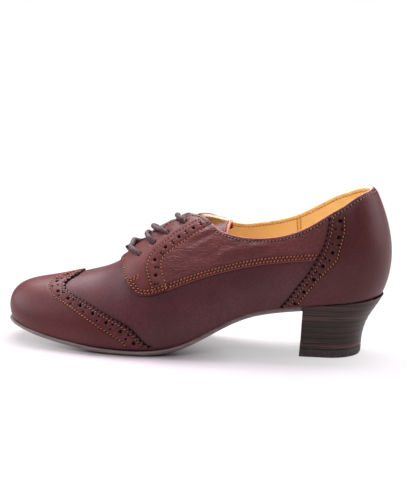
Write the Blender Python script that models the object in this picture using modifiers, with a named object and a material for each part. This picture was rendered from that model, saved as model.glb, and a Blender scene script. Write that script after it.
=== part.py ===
"""Left wing-tip derby brogue on a curved block heel.

The toe points along -X, the lateral side faces -Y and the shoe stands on Z = 0.
Sizes are in millimetres. The last is one function of three values:
lap runs round each side, -1 at the toe tip, 0 to 1 along the side, 2 at the heel's back;
rise runs from 0 at the feather edge, where upper and sole meet, to 1 at the ridge;
side is -1 on the lateral side and +1 on the medial side.
"""
import math

import bmesh
import bpy
import numpy as np

MM = 0.001
RIGHT_ANGLE = math.pi / 2
LATERAL, MEDIAL = -1.0, 1.0

# Driving sizes of the last
TOE_X = -123.6
TOE_FAN_X = -47.0
HEEL_FAN_X = 97.0
HEEL_X = 119.2
TOE_ROUND = 2.3
HEEL_ROUND = 2.1
BULGE_PEAK = 6.75

# Thicknesses and clearances
GAP = 0.3
WALL = 1.6
OVERLAY_GAP = 0.45
OVERLAY = 1.1
FACING = 0.8
FACING_LIFT = OVERLAY_GAP + OVERLAY + OVERLAY_GAP
TONGUE = 1.7
TONGUE_GAP = 0.7
INSOLE = 2.2
INSOLE_INSET = 2.2
SOLE_THICKNESS = 3.5
SOLE_EDGE_RISE = 1.3
TOP_PIECE = 5.2
LACE_RADIUS = 1.6
WELD = 0.001

# Where the pieces begin and end
OVERLAY_FOOT = 0.012
FACING_FOOT = 0.012
FACING_DROOP = 8
THROAT_LAP = 0.09
THROAT_RISE = 0.9
LACE_SKEW = 0.02
TONGUE_LAPS = (0.05, 0.48)
TONGUE_RISE = 0.72
TONGUE_SINK = 8.7
TONGUE_SINK_LAPS = (0.16, 0.41)
COUNTER_CLEAR = 0.008
BREAST_X = 74.3
BREAST_GAP = 0.6
TOP_PIECE_DROP = 0.85
HEEL_BEND_SHARE = 0.62

# Grid columns along each stretch of a side: toe round, straight and heel round
SIDE_COLUMNS = (14, 20, 7)
UPPER_ROWS = 11
PLATE_COLUMNS = (10, 16, 5)
PLATE_REACHES = (0.0, 0.25, 0.5, 0.75, 1.0)
TREAD_REACHES = (1.0, 0.84, 0.6, 0.3, 0.0)
SOLE_SIDE_COLUMNS = 13

# Grid columns and rows of the other pieces, and where their columns crowd
CAP_GRID = (36, 7)
COUNTER_GRID = (26, 8)
QUARTER_GRID = (24, 7)
FACING_GRID = (7, 14)
TONGUE_GRID = (13, 6)
HEEL_COLUMNS = 24
HEEL_LAYERS = 8
HEEL_INNER_REACHES = (0.0, 0.6)
LACE_KNOTS = 13
COUNTER_SHARES = (0.0, 0.3, 1.0)
COUNTER_LAPS = (0.0, 0.2, 1.0)
FLAP_CROWDING = 1.5
SLOPE_STEP = 1e-4
SHARP_ANGLE = math.radians(40)


class Table:
    """Rows under named columns, joined along the first column by a cubic spline."""

    def __init__(self, names, rows, flat_ends=False):
        values = np.array(rows, float).T
        self.knots = values[0]
        self.columns = dict(zip(names[1:], values[1:]))
        self.bends = {name: self.bend(ys, flat_ends) for name, ys in self.columns.items()}

    def bend(self, ys, flat_ends):
        """Second derivatives at the knots, with free or level ends."""
        step = np.diff(self.knots)
        slope = np.diff(ys) / step
        count = len(ys)
        matrix = np.eye(count)
        right = np.zeros(count)
        for i in range(1, count - 1):
            matrix[i, i - 1:i + 2] = step[i - 1], 2 * (step[i - 1] + step[i]), step[i]
            right[i] = 6 * (slope[i] - slope[i - 1])
        if flat_ends:
            matrix[0, :2] = 2 * step[0], step[0]
            matrix[-1, -2:] = step[-1], 2 * step[-1]
            right[0], right[-1] = 6 * slope[0], -6 * slope[-1]
        return np.linalg.solve(matrix, right)

    def at(self, name, where):
        ys, bend = self.columns[name], self.bends[name]
        where = np.asarray(where, float)
        i = np.clip(np.searchsorted(self.knots, where) - 1, 0, len(ys) - 2)
        step = self.knots[i + 1] - self.knots[i]
        t, u = where - self.knots[i], self.knots[i + 1] - where
        cubic = (bend[i] * u ** 3 + bend[i + 1] * t ** 3) / (6 * step)
        left = (ys[i] / step - bend[i] * step / 6) * u
        right = (ys[i + 1] / step - bend[i + 1] * step / 6) * t
        return cubic + left + right


# Stations of the last: half widths at the feather edge, sideways swing of the plan,
# height of the feather edge and of the ridge, sideways shift of the ridge
LAST = Table(("x", "lateral", "medial", "swing", "feather", "ridge", "crest"), (
    (-125, 36.0, 37.0, 4.7, 14.0, 42.5, 0.0),
    (-97, 36.5, 38.0, 3.2, 8.9, 41.2, 1.0),
    (-72, 38.5, 39.0, 1.7, 5.7, 45.6, 2.0),
    (-59, 39.7, 39.2, 0.9, 4.4, 49.5, 2.5),
    (-47, 40.4, 39.0, 0.3, 3.8, 56.5, 3.0),
    (-35, 40.8, 38.0, -0.1, 3.5, 66.0, 3.0),
    (-22, 40.2, 36.5, -0.3, 4.0, 75.0, 3.0),
    (-8, 38.5, 33.6, -0.3, 6.2, 82.0, 3.0),
    (9, 35.3, 30.2, -0.3, 13.4, 89.0, 3.0),
    (33, 29.5, 26.5, -0.3, 25.8, 97.5, 2.0),
    (63, 25.5, 24.5, -0.3, 32.4, 107.5, 1.0),
    (97, 23.6, 23.6, -0.3, 36.0, 117.5, 0.0),
    (123, 23.0, 23.0, -0.3, 39.0, 122.0, 0.0),
))

# Fullness of each cross-section and how far its wall swells beyond the feather edge
SECTION = Table(("lap", "lateral", "medial", "bulge"), (
    (-1.0, 4.2, 4.2, 0.025),
    (-0.5, 2.9, 2.9, 0.04),
    (0.0, 2.1, 2.2, 0.05),
    (0.35, 1.95, 2.05, 0.08),
    (0.7, 2.2, 2.3, 0.21),
    (1.0, 2.7, 2.7, 0.28),
    (2.0, 2.9, 2.9, 0.29),
), flat_ends=True)

# Rise of the throat and collar edge
TOPLINE = Table(("lap", "lateral", "medial"), (
    (0.09, 0.895, 0.895),
    (0.22, 0.915, 0.905),
    (0.34, 0.90, 0.865),
    (0.38, 0.82, 0.765),
    (0.44, 0.655, 0.64),
    (0.50, 0.555, 0.55),
    (0.57, 0.482, 0.50),
    (0.66, 0.428, 0.468),
    (0.78, 0.403, 0.462),
    (0.87, 0.418, 0.492),
    (0.96, 0.458, 0.522),
    (0.985, 0.469, 0.526),
    (1.0, 0.4745, 0.5275),
    (1.03, 0.4775, 0.5283),
    (1.2, 0.495, 0.53),
    (1.6, 0.528, 0.535),
    (2.0, 0.54, 0.54),
))

# Rear edge of the winged toe cap
CAP_EDGE = Table(("lap", "rise"), (
    (-1.0, 0.76),
    (-0.8, 0.75),
    (-0.66, 0.72),
    (-0.58, 0.665),
    (-0.50, 0.60),
    (-0.35, 0.51),
    (-0.146, 0.39),
    (0.025, 0.226),
    (0.123, 0.103),
    (0.185, 0.028),
), flat_ends=True)

# Lower edge of a quarter, from the front corner of its lacing flap
QUARTER_EDGE = Table(("lap", "rise"), (
    (-0.012, 0.87),
    (0.0, 0.785),
    (0.018, 0.689),
    (0.034, 0.581),
    (0.059, 0.478),
    (0.088, 0.402),
    (0.125, 0.347),
    (0.16, 0.328),
    (0.25, 0.328),
    (0.386, 0.325),
    (0.533, 0.292),
    (0.70, 0.264),
    (0.89, 0.24),
))

# Front edge of the heel counter, by its share of the way up to the collar
COUNTER_EDGE = Table(("share", "lap"), (
    (0.0, 0.742),
    (0.13, 0.781),
    (0.26, 0.815),
    (0.38, 0.853),
    (0.51, 0.891),
    (0.65, 0.926),
    (0.78, 0.943),
    (1.0, 0.951),
))

# Front and rear edge of the facing that carries the eyelets, bottom to collar
FACING_EDGE = Table(("along", "front_lap", "front_rise", "rear_lap", "rear_rise"), (
    (0.0, 0.100, 0.392, 0.250, 0.345),
    (0.12, 0.063, 0.475, 0.236, 0.42),
    (0.24, 0.037, 0.580, 0.224, 0.485),
    (0.36, 0.020, 0.690, 0.220, 0.54),
    (0.48, 0.008, 0.780, 0.236, 0.578),
    (0.60, 0.025, 0.880, 0.265, 0.605),
    (0.74, 0.120, 0.893, 0.310, 0.635),
    (0.88, 0.240, 0.905, 0.365, 0.662),
    (1.0, 0.340, 0.890, 0.425, 0.680),
))

# Outline of the outsole against the feather edge
SOLE = Table(("lap", "spread"), (
    (-1.0, 1.035),
    (-0.5, 1.035),
    (0.0, 1.03),
    (0.2, 1.015),
    (0.35, 0.96),
    (0.55, 0.90),
    (0.9, 0.92),
), flat_ends=True)

# Heel block from its seat down to the top piece: breast, back and half width
HEEL = Table(("drop", "front", "back", "half"), (
    (0.0, 74.3, 122.5, 25.4),
    (0.12, 73.9, 119.6, 24.2),
    (0.25, 73.5, 116.0, 23.0),
    (0.4, 73.0, 112.5, 22.0),
    (0.55, 72.6, 110.3, 21.2),
    (0.7, 72.2, 109.0, 20.6),
    (0.85, 71.7, 108.4, 20.3),
    (1.0, 71.3, 108.0, 20.2),
))

# Lace strands from the front: lap and rise of their eyelets, lap and height where they cross the ridge
LACE_BARS = (
    (0.100, 0.690, 0.040, 3.9),
    (0.161, 0.734, 0.118, 4.0),
    (0.219, 0.780, 0.148, 5.6),
    (0.292, 0.835, 0.252, 4.4),
)

# Colour and roughness of each material
FINISHES = {
    "leather": ((0.095, 0.030, 0.032), 0.42),
    "tongue_leather": ((0.150, 0.075, 0.082), 0.5),
    "insole_leather": ((0.620, 0.330, 0.100), 0.6),
    "sole_leather": ((0.160, 0.135, 0.115), 0.55),
    "heel_stack": ((0.055, 0.034, 0.026), 0.5),
    "top_piece_rubber": ((0.022, 0.018, 0.016), 0.7),
    "lace_cotton": ((0.150, 0.098, 0.105), 0.65),
}


def superellipse(angle, power):
    """Point on a rounded corner, seen from its centre at this angle."""
    across, up = np.abs(np.cos(angle)), np.abs(np.sin(angle))
    radius = (across ** power + up ** power) ** (-1 / power)
    return radius * across, radius * up


def footprint(lap, reach, side):
    """Plan point at this share of the way from the spine to the feather edge."""
    toe_along, toe_across = superellipse(np.clip(1 + lap, 0, 1) * RIGHT_ANGLE, TOE_ROUND)
    heel_along, heel_across = superellipse(np.clip(2 - lap, 0, 1) * RIGHT_ANGLE, HEEL_ROUND)
    spine = TOE_FAN_X + np.clip(lap, 0, 1) * (HEEL_FAN_X - TOE_FAN_X)
    toe = np.where(lap < 0, toe_along * (TOE_X - TOE_FAN_X), 0.0)
    heel = np.where(lap > 1, heel_along * (HEEL_X - HEEL_FAN_X), 0.0)
    across = np.where(lap < 0, toe_across, np.where(lap > 1, heel_across, 1.0))
    x = spine + (toe + heel) * reach
    width = np.where(side < 0, LAST.at("lateral", x), LAST.at("medial", x))
    return x, LAST.at("swing", x) + side * width * across * reach


def skin(lap, rise, side):
    """Outer face of the upper."""
    fullness = np.where(side < 0, SECTION.at("lateral", lap), SECTION.at("medial", lap))
    reach, height = superellipse(rise * RIGHT_ANGLE, fullness)
    reach = reach + SECTION.at("bulge", lap) * BULGE_PEAK * height * (1 - height) ** 2
    x, y = footprint(lap, reach, side)
    feather = LAST.at("feather", x)
    z = feather + height * (LAST.at("ridge", x) - feather)
    return np.stack([x, y + LAST.at("crest", x) * height, z], axis=-1)


def lifted(lap, rise, side, lift):
    """Face parallel to the upper's outer face, this far outside it."""
    lap, rise, side = np.broadcast_arrays(*(np.asarray(a, float) for a in (lap, rise, side)))
    ahead, behind = np.minimum(lap + SLOPE_STEP, 2), np.maximum(lap - SLOPE_STEP, -1)
    above, below = np.minimum(rise + SLOPE_STEP, 1), np.maximum(rise - SLOPE_STEP, 0)
    along = skin(ahead, rise, side) - skin(behind, rise, side)
    up = skin(lap, above, side) - skin(lap, below, side)
    normal = np.cross(along, up) * -side[..., None]
    return skin(lap, rise, side) + lift * normal / np.linalg.norm(normal, axis=-1, keepdims=True)


def ease(value, first, last):
    """Smooth step from 0 at the first value to 1 at the last."""
    share = np.clip((value - first) / (last - first), 0, 1)
    return share ** 2 * (3 - 2 * share)


def topline(lap, side):
    """Rise of the upper's top edge, which is the ridge in front of the throat."""
    edge = np.where(side < 0, TOPLINE.at("lateral", lap), TOPLINE.at("medial", lap))
    return np.where(lap > THROAT_LAP + WELD, edge, 1.0)


def side_lap(share, columns):
    """Lap at this share of a side's grid columns."""
    ends = np.cumsum((0,) + columns) / sum(columns)
    return np.interp(share, ends, (-1.0, 0.0, 1.0, 2.0))


def round_heel(u):
    """Share of the way to the heel and side, along the lateral side and back along the medial."""
    return 1 - np.abs(2 * u - 1), np.where(u < 0.5, LATERAL, MEDIAL)


def round_toe(u):
    """Share of the way from the toe and side, along the medial side and back along the lateral."""
    return np.abs(2 * u - 1), np.where(u < 0.5, MEDIAL, LATERAL)


def one_side(u, side):
    """Share of the way from the front on one side, so that faces turn outwards."""
    return (u if side < 0 else 1 - u), np.full_like(u, side)


def bent_grid(columns, rows, place):
    """A grid whose corners (0, 0) to (1, 1) are placed by a function, welded where it closes."""
    mesh = bmesh.new()
    bmesh.ops.create_grid(mesh, x_segments=columns, y_segments=rows, size=0.5)
    corners = np.array([vert.co[:2] for vert in mesh.verts]) + 0.5
    for vert, point in zip(mesh.verts, place(corners[:, 0], corners[:, 1])):
        vert.co = point * MM
    bmesh.ops.remove_doubles(mesh, verts=mesh.verts, dist=WELD * MM)
    return mesh


def close_solid(mesh):
    """Fill the open ends of a grid and turn its faces outwards."""
    bmesh.ops.holes_fill(mesh, edges=mesh.edges, sides=0)
    bmesh.ops.recalc_face_normals(mesh, faces=mesh.faces)
    return mesh


def finish(name):
    """Material with the colour and roughness listed for it."""
    material = bpy.data.materials.get(name)
    if material is None:
        colour, roughness = FINISHES[name]
        material = bpy.data.materials.new(name)
        material.use_nodes = True
        shader = material.node_tree.nodes["Principled BSDF"]
        shader.inputs["Base Color"].default_value = (*colour, 1.0)
        shader.inputs["Roughness"].default_value = roughness
        shader.inputs["Metallic"].default_value = 0.0
    return material


def add_object(name, data, material, collection):
    piece = bpy.data.objects.new(name, data)
    piece.data.materials.append(finish(material))
    collection.objects.link(piece)
    return piece


def add_mesh(name, mesh, material, collection):
    data = bpy.data.meshes.new(name)
    mesh.to_mesh(data)
    mesh.free()
    data.shade_smooth()
    data.set_sharp_from_angle(angle=SHARP_ANGLE)
    return add_object(name, data, material, collection)


def thicken(piece, thickness, outwards):
    """Give an open sheet its thickness on one side."""
    solidify = piece.modifiers.new("thickness", "SOLIDIFY")
    solidify.thickness = thickness * MM
    solidify.offset = 1.0 if outwards else -1.0


def make_upper(collection):
    """One wall from the feather edge to the ridge, throat edge and collar."""
    def place(u, v):
        share, side = round_heel(u)
        lap = side_lap(share, SIDE_COLUMNS)
        return skin(lap, v * topline(lap, side), side)

    mesh = bent_grid(2 * sum(SIDE_COLUMNS), UPPER_ROWS, place)
    piece = add_mesh("upper", mesh, "leather", collection)
    thicken(piece, WALL, outwards=False)


def make_toe_cap(collection):
    """Winged cap from one wing's end round the toe to the other."""
    wing_end = CAP_EDGE.knots[-1]

    def place(u, v):
        share, side = round_toe(u)
        lap = -1 + share * (wing_end + 1)
        rise = OVERLAY_FOOT + v * (CAP_EDGE.at("rise", lap) - OVERLAY_FOOT)
        return lifted(lap, rise, side, OVERLAY_GAP)

    piece = add_mesh("toe_cap", bent_grid(*CAP_GRID, place), "leather", collection)
    thicken(piece, OVERLAY, outwards=True)


def make_counter(collection):
    """Heel counter from its slanting front edges round the heel's back."""
    def place(u, v):
        share, side = round_heel(u)
        front = COUNTER_EDGE.at("lap", v)
        lap = front + np.interp(share, COUNTER_SHARES, COUNTER_LAPS) * (2 - front)
        rise = OVERLAY_FOOT + v * (topline(lap, side) - OVERLAY_FOOT)
        return lifted(lap, rise, side, OVERLAY_GAP)

    piece = add_mesh("counter", bent_grid(*COUNTER_GRID, place), "leather", collection)
    thicken(piece, OVERLAY, outwards=True)


def make_quarter(name, side, collection):
    """Quarter with its lacing flap, ending just before the counter."""
    front = QUARTER_EDGE.knots[0]
    end_top = float(topline(COUNTER_EDGE.columns["lap"][-1], side))
    end_low = float(QUARTER_EDGE.columns["rise"][-1])

    def place(u, v):
        share, sides = one_side(u, side)
        end_rise = end_low + v * (end_top - end_low)
        end = COUNTER_EDGE.at("lap", (end_rise - OVERLAY_FOOT) / (end_top - OVERLAY_FOOT)) - COUNTER_CLEAR
        lap = front + (end - front) * share ** FLAP_CROWDING
        low = QUARTER_EDGE.at("rise", lap)
        top = topline(np.maximum(lap, THROAT_LAP + 2 * WELD), sides)
        return lifted(lap, low + v * (top - low), sides, OVERLAY_GAP)

    piece = add_mesh(name, bent_grid(*QUARTER_GRID, place), "leather", collection)
    thicken(piece, OVERLAY, outwards=True)


def make_facing(name, side, collection):
    """Eyelet facing laid on the front of a quarter, down to the quarter's lower edge."""
    def place(u, v):
        share, sides = one_side(u, side)
        edge = {key: FACING_EDGE.at(key, v) for key in FACING_EDGE.columns}
        lap = edge["front_lap"] + share * (edge["rear_lap"] - edge["front_lap"])
        rise = edge["front_rise"] + share * (edge["rear_rise"] - edge["front_rise"])
        rise = np.minimum(rise, topline(lap, sides) - FACING_FOOT)
        foot = QUARTER_EDGE.at("rise", lap) + FACING_FOOT
        return lifted(lap, rise + (foot - rise) * (1 - v) ** FACING_DROOP, sides, FACING_LIFT)

    piece = add_mesh(name, bent_grid(*FACING_GRID, place), "leather", collection)
    thicken(piece, FACING, outwards=True)


def make_tongue(collection):
    """Tongue under the throat, free at its upper end."""
    first, last = TONGUE_LAPS

    def place(u, v):
        side = np.where(v < 0.5, LATERAL, MEDIAL)
        rise = TONGUE_RISE + (1 - np.abs(2 * v - 1)) * (1 - TONGUE_RISE)
        lap = first + u * (last - first)
        points = lifted(lap, rise, side, -WALL - TONGUE_GAP)
        points[:, 2] -= TONGUE_SINK * ease(lap, *TONGUE_SINK_LAPS)
        return points

    piece = add_mesh("tongue", bent_grid(*TONGUE_GRID, place), "tongue_leather", collection)
    thicken(piece, TONGUE, outwards=False)


def make_insole(collection):
    """Insole inside the upper's lower edge."""
    reaches = PLATE_REACHES + PLATE_REACHES[::-1]
    levels = (0.0,) * len(PLATE_REACHES) + (INSOLE,) * len(PLATE_REACHES)

    def place(u, v):
        row = np.rint(v * (len(reaches) - 1)).astype(int)
        share, side = round_heel(u)
        lap = side_lap(share, PLATE_COLUMNS)
        edge_x, _ = footprint(lap, 1.0, side)
        inset = 1 - INSOLE_INSET / LAST.at("lateral", edge_x)
        x, y = footprint(lap, np.take(reaches, row) * inset, side)
        return np.stack([x, y, LAST.at("feather", x) + np.take(levels, row)], axis=-1)

    mesh = bent_grid(2 * sum(PLATE_COLUMNS), len(reaches) - 1, place)
    add_mesh("insole", close_solid(mesh), "insole_leather", collection)


def make_outsole(collection):
    """Outsole from the toe to the heel breast, level under the ball."""
    reaches = PLATE_REACHES + TREAD_REACHES
    toe, straight, _ = PLATE_COLUMNS
    columns = toe + SOLE_SIDE_COLUMNS + 1
    shares = (0, toe / columns, 1 - 1 / columns, 1)
    breast_lap = (BREAST_X - BREAST_GAP - TOE_FAN_X) / (HEEL_FAN_X - TOE_FAN_X)
    laps = (-1.0, 0.0, SOLE_SIDE_COLUMNS / straight, breast_lap)

    def place(u, v):
        row = np.rint(v * (len(reaches) - 1)).astype(int)
        share, side = round_toe(u)
        lap = np.interp(share, shares, laps)
        reach = np.take(reaches, row)
        x, y = footprint(lap, reach * SOLE.at("spread", lap), side)
        top = LAST.at("feather", x) - GAP
        tread = np.maximum(top - SOLE_THICKNESS, 0) + SOLE_EDGE_RISE * (reach == 1.0)
        return np.stack([x, y, np.where(row < len(PLATE_REACHES), top, tread)], axis=-1)

    mesh = bent_grid(2 * columns, len(reaches) - 1, place)
    add_mesh("outsole", close_solid(mesh), "sole_leather", collection)


def heel_outline(turn, drop, reach):
    """Plan of the heel from one breast corner (-1) round the back (0) to the other (1)."""
    front, back, half = (HEEL.at(name, drop) for name in ("front", "back", "half"))
    centre = back - half
    bend = np.clip(np.abs(turn) / HEEL_BEND_SHARE, 0, 1) * RIGHT_ANGLE
    straight = np.clip((np.abs(turn) - HEEL_BEND_SHARE) / (1 - HEEL_BEND_SHARE), 0, 1)
    along, across = superellipse(bend, HEEL_ROUND)
    x = centre + half * along * reach + (front - centre) * straight
    return x, LAST.at("swing", x) + np.sign(turn) * half * across * reach


def loft_heel(name, tops, bottom, drops, material, collection):
    """Loft of heel outlines between an upper face and a level lower face."""
    inner = HEEL_INNER_REACHES
    reaches = np.array(inner + (1.0,) * len(drops) + inner[::-1])
    levels = np.array((drops[0],) * len(inner) + drops + (drops[-1],) * len(inner))

    def place(u, v):
        row = np.rint(v * (len(levels) - 1)).astype(int)
        x, y = heel_outline(2 * u - 1, levels[row], reaches[row])
        share = (levels[row] - drops[0]) / (drops[-1] - drops[0])
        return np.stack([x, y, (1 - share) * tops(x) + share * bottom], axis=-1)

    mesh = bent_grid(HEEL_COLUMNS, len(levels) - 1, place)
    add_mesh(name, close_solid(mesh), material, collection)


def make_heel(collection):
    """Stacked heel block under the seat and the top piece that it stands on."""
    block_drops = tuple(np.linspace(0, TOP_PIECE_DROP, HEEL_LAYERS))
    loft_heel("heel_block", lambda x: LAST.at("feather", x) - GAP, TOP_PIECE + GAP,
              block_drops, "heel_stack", collection)
    loft_heel("top_piece", lambda x: np.full_like(x, TOP_PIECE), 0.0,
              (TOP_PIECE_DROP, 1.0), "top_piece_rubber", collection)


def make_lace(collection):
    """Lace strands from eyelet to eyelet over both facings, at their own heights over the throat."""
    over = FACING_LIFT + FACING + GAP + LACE_RADIUS
    steps = np.linspace(-1, 1, LACE_KNOTS)
    side = np.where(steps < 0, LATERAL, MEDIAL)
    for number, (lap, rise, ridge_lap, ridge_lift) in enumerate(LACE_BARS, 1):
        laps = lap + (1 - steps ** 2) * (ridge_lap - lap) + LACE_SKEW * np.maximum(steps, 0)
        rises = rise + (1 - np.abs(steps)) * (1 - rise)
        lifts = over + (ridge_lift - over) * np.clip((rises - THROAT_RISE) / (1 - THROAT_RISE), 0, 1)
        points = lifted(laps, rises, side, lifts[:, None]) * MM
        curve = bpy.data.curves.new(f"lace_bar_{number}", "CURVE")
        curve.dimensions = "3D"
        curve.bevel_depth = LACE_RADIUS * MM
        curve.bevel_resolution = 2
        curve.use_fill_caps = True
        spline = curve.splines.new("POLY")
        spline.points.add(len(points) - 1)
        for knot, point in zip(spline.points, points):
            knot.co = (*point, 1.0)
        add_object(f"lace_bar_{number}", curve, "lace_cotton", collection)


def main():
    for old in list(bpy.data.objects):
        bpy.data.objects.remove(old)
    collection = bpy.data.collections.new("brogue")
    bpy.context.scene.collection.children.link(collection)
    make_upper(collection)
    make_toe_cap(collection)
    make_counter(collection)
    for name, side in (("lateral", LATERAL), ("medial", MEDIAL)):
        make_quarter(f"quarter_{name}", side, collection)
        make_facing(f"facing_{name}", side, collection)
    make_tongue(collection)
    make_insole(collection)
    make_outsole(collection)
    make_heel(collection)
    make_lace(collection)


main()
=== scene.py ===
"""Looks of a left wing-tip derby brogue: leathers, lining, stitches, lace, sole, heel and studio.

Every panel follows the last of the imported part, in its frame: the toe points along -X and the
lateral side faces -Y. Sizes are in millimetres. A point of the last has three values:
lap runs round each side, -1 at the toe tip, 0 to 1 along the side, 2 at the heel's back;
rise runs from 0 at the feather edge, where upper and sole meet, to 1 at the ridge;
side is -1 on the lateral side and +1 on the medial side.
"""
import math

import bmesh
import bpy
import numpy as np
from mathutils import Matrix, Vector, kdtree
from mathutils.geometry import delaunay_2d_cdt


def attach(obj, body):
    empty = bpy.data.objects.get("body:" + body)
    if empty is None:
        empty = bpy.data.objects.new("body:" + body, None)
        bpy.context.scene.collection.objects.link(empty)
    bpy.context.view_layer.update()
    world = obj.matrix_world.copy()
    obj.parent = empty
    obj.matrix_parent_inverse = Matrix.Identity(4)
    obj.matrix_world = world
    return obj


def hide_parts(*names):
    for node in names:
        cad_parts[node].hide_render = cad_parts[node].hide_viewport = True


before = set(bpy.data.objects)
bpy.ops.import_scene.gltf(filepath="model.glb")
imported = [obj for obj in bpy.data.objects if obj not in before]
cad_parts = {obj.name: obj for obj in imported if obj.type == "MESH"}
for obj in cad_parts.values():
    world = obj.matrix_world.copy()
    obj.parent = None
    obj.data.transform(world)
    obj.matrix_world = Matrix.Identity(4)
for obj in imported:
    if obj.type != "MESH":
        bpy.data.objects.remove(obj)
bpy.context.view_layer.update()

MM = 0.001
RIGHT_ANGLE = math.pi / 2
LATERAL, MEDIAL = -1.0, 1.0
SIDES = (("lateral", LATERAL), ("medial", MEDIAL))

# Driving sizes of the last
TOE_X = -123.6
TOE_FAN_X = -47.0
HEEL_FAN_X = 97.0
HEEL_X = 119.2
TOE_ROUND = 2.3
HEEL_ROUND = 2.1
BULGE_PEAK = 6.75

# Layers of the upper: heights above the last, and thicknesses of walls
VAMP_WALL = 1.1
LINING_FACES = (-1.75, -1.2)
PANEL_BASE = 0.3
CAP_TOP, QUARTER_TOP, COUNTER_TOP, FACING_TOP = 1.5, 1.4, 1.85, 2.3
TUCKED_TOP = 0.75
# Height and thickness of the dark sheet that paints the shade in holes and notches
SHADE_SHEET_TOP, SHADE_SHEET_WALL = 0.24, 0.15
RIM_WALL, FLAP_LINING_WALL = 0.25, 0.2
QUARTER_BASE = 0.1
SHEET_LEAST = 0.3

# Edges of the pieces
OVERLAY_FOOT = 0.012
CAP_CLEAR, COUNTER_CLEAR, HOLES_CLEAR = 0.02, 0.012, 0.016
THROAT_LAP = 0.09
THROAT_RISE = 0.9
COLLAR_LAP = 0.335
EDGE_DROP = 0.25
TOP_EDGE_MARK = 0.45
QUARTER_SKIVE, COUNTER_SKIVE, COLLAR_SKIVE_WIDTH = 0.5, 0.9, 2.2
FACING_SKIVE_LAP, FACING_SKIVE_WIDTH = 0.1, 5.0
FLAP_EDGE_WIDTH = 7.0
FLAP_LINING_RISE, FLAP_LINING_TALL = 0.7, 0.17
FLAP_LINING_INSET, FLAP_LINING_LONG, FLAP_LINING_GAP = 0.004, 0.1, 0.03
PINK_PITCH, PINK_DEPTH = 3.2, 2.0
TUCK, FACING_TUCK = 5.0, 2.0
TUCK_CLEAR, TUCK_BELOW, FOLD_ROOM = 1.0, 0.01, 1.0
TUCK_EASE = (-0.5, 2.5)
QUARTER_END_LAP = 0.915
FACING_MARGIN = 1.3
ROUNDING_PASSES = 6
FACING_HOLE_DEPTH, EYELET_DEPTH = 1.1, 1.4
# Dark sheets of painted shade under holes and notches: widths, margins, clearances and insets
BORDER_SHADE_SHEET, FACING_SHADE_SHEET, EYELET_SHADE_SHEET, EYELET_MARGIN = 9.0, 8.0, 5.0, 2.5
SHADE_SHEET_BELOW, SHADE_SHEET_INSET, SHADE_SHEET_SHARES = 0.02, 0.25, (0.35, 0.7, 1.0)
EYELET_LEAD = 0.02

# Collar edge from the lining to the outer leather: height above the last and above the edge
RIM_PROFILE = (
    (-1.95, -1.1),
    (-1.9, -0.15),
    (-1.55, 0.25),
    (-1.0, 0.4),
    (-0.55, 0.45),
    (-0.1, 0.45),
    (0.3, 0.35),
    (0.5, 0.1),
    (0.55, -1.0),
)

# Stitch rows by their distance from an edge, the ends of rows and lining, and the bar tack
CAP_STITCH_INSET = 2.7
COUNTER_STITCH_INSET = 3.3
QUARTER_INSETS = (1.5, 3.4)
FLAP_ROW_STARTS, FLAP_ROW_CLEAR, THROAT_ROW_END = (-0.004, 0.062), 0.02, 0.004
COLLAR_STITCH_INSET, LINING_STITCH_INSET = 2.1, 2.2
COLLAR_CLEAR = 2.3
LINING_SEAM_LAP, LINING_SEAM_HALF = 0.77, 1.05
LINING_FOOT, LINING_BELOW, LINING_ROW_END, LINING_SEAM_FOOT = 0.01, 0.012, 0.08, 0.1
SEAM_WIDTH = 1.5
TACK_ENDS = ((0.058, 0.495), (0.118, 0.487))
TACK_DROPS = (0.0, 0.018)

# Punched bands: half the spread of the small pairs, pitch of the large holes, free ends
CAP_HOLES = (1.6, 11.2, 2.5, 2.5)
COUNTER_HOLES = (1.3, 10.3, 0.0, 3.8)
FACING_HOLES = (0.95, 10.9, 10.3, 9.9)

# Punched holes and stitches
HOLE_RIM, HOLE_CLEAR = 0.4, 0.64
LARGE_HOLE, SMALL_HOLE, EYELET = 1.2, 0.7, 1.75
STITCH_PITCH = 2.3
STITCH_LENGTH, STITCH_WIDTH, STITCH_HEIGHT = 1.75, 0.64, 0.5
NEEDLE_HOLE, NEEDLE_HOLE_HEIGHT = 0.58, 0.13
TACK_SIZE = 1.1
STITCH_SINK, TACK_SINK = 0.1, -0.05
STITCH_SLANT = 0.3
GROOVE_DEPTH, GROOVE_WIDTH, GROOVE_FADE = 0.24, 0.8, 0.7

# Unit stitch: place along it and reach of each ring
SPINDLE = ((-1.0, 0.35), (-0.62, 0.88), (0.0, 1.0), (0.62, 0.88), (1.0, 0.35))
STITCH_SIDES = 6

# Fineness: steps of lap and rise for slopes, spacings in millimetres, numbers of points and corners,
# grids of sheets, and angles in degrees above which an edge is sharp
SLOPE_STEP, TINY = 1e-4, 1e-9
WELD, CUT_SNAP = 0.002, 1e-5
ROW_POINTS, CAP_POINTS, COUNTER_POINTS, FACING_POINTS = 200, 400, 120, 160
LINING_POINTS, SEAM_POINTS, LACE_EVEN_POINTS, LACE_HIDDEN_POINTS = 400, 30, 8, 7
OFFSET_STEP = 1.0
LARGE_SIDES, SMALL_SIDES, EYELET_SIDES = 14, 10, 16
PANEL_PITCH, FOLDED_PITCH = 1.3, 1.15
EDGE_PITCH, CUT_PITCH, FLAP_PITCH, TOP_PITCH, FOOT_PITCH = 0.7, 0.9, 0.6, 0.8, 1.2
GROOVE_PITCH, BED_PITCH, BOUND_PITCH, EYELET_PITCH, TACK_PITCH = 0.9, 0.4, 0.6, 1.0, 0.5
FIELD_CLEAR, FIELD_GAP, FIELD_ROWS = 0.4, 0.45, 0.87
INSIDE_ONLY = 1
LACE_PITCH = 0.35
VAMP_GRID, LINING_GRID, FLAP_LINING_GRID, TONGUE_GRID = (300, 56), (240, 40), (30, 20), (140, 40)
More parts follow.
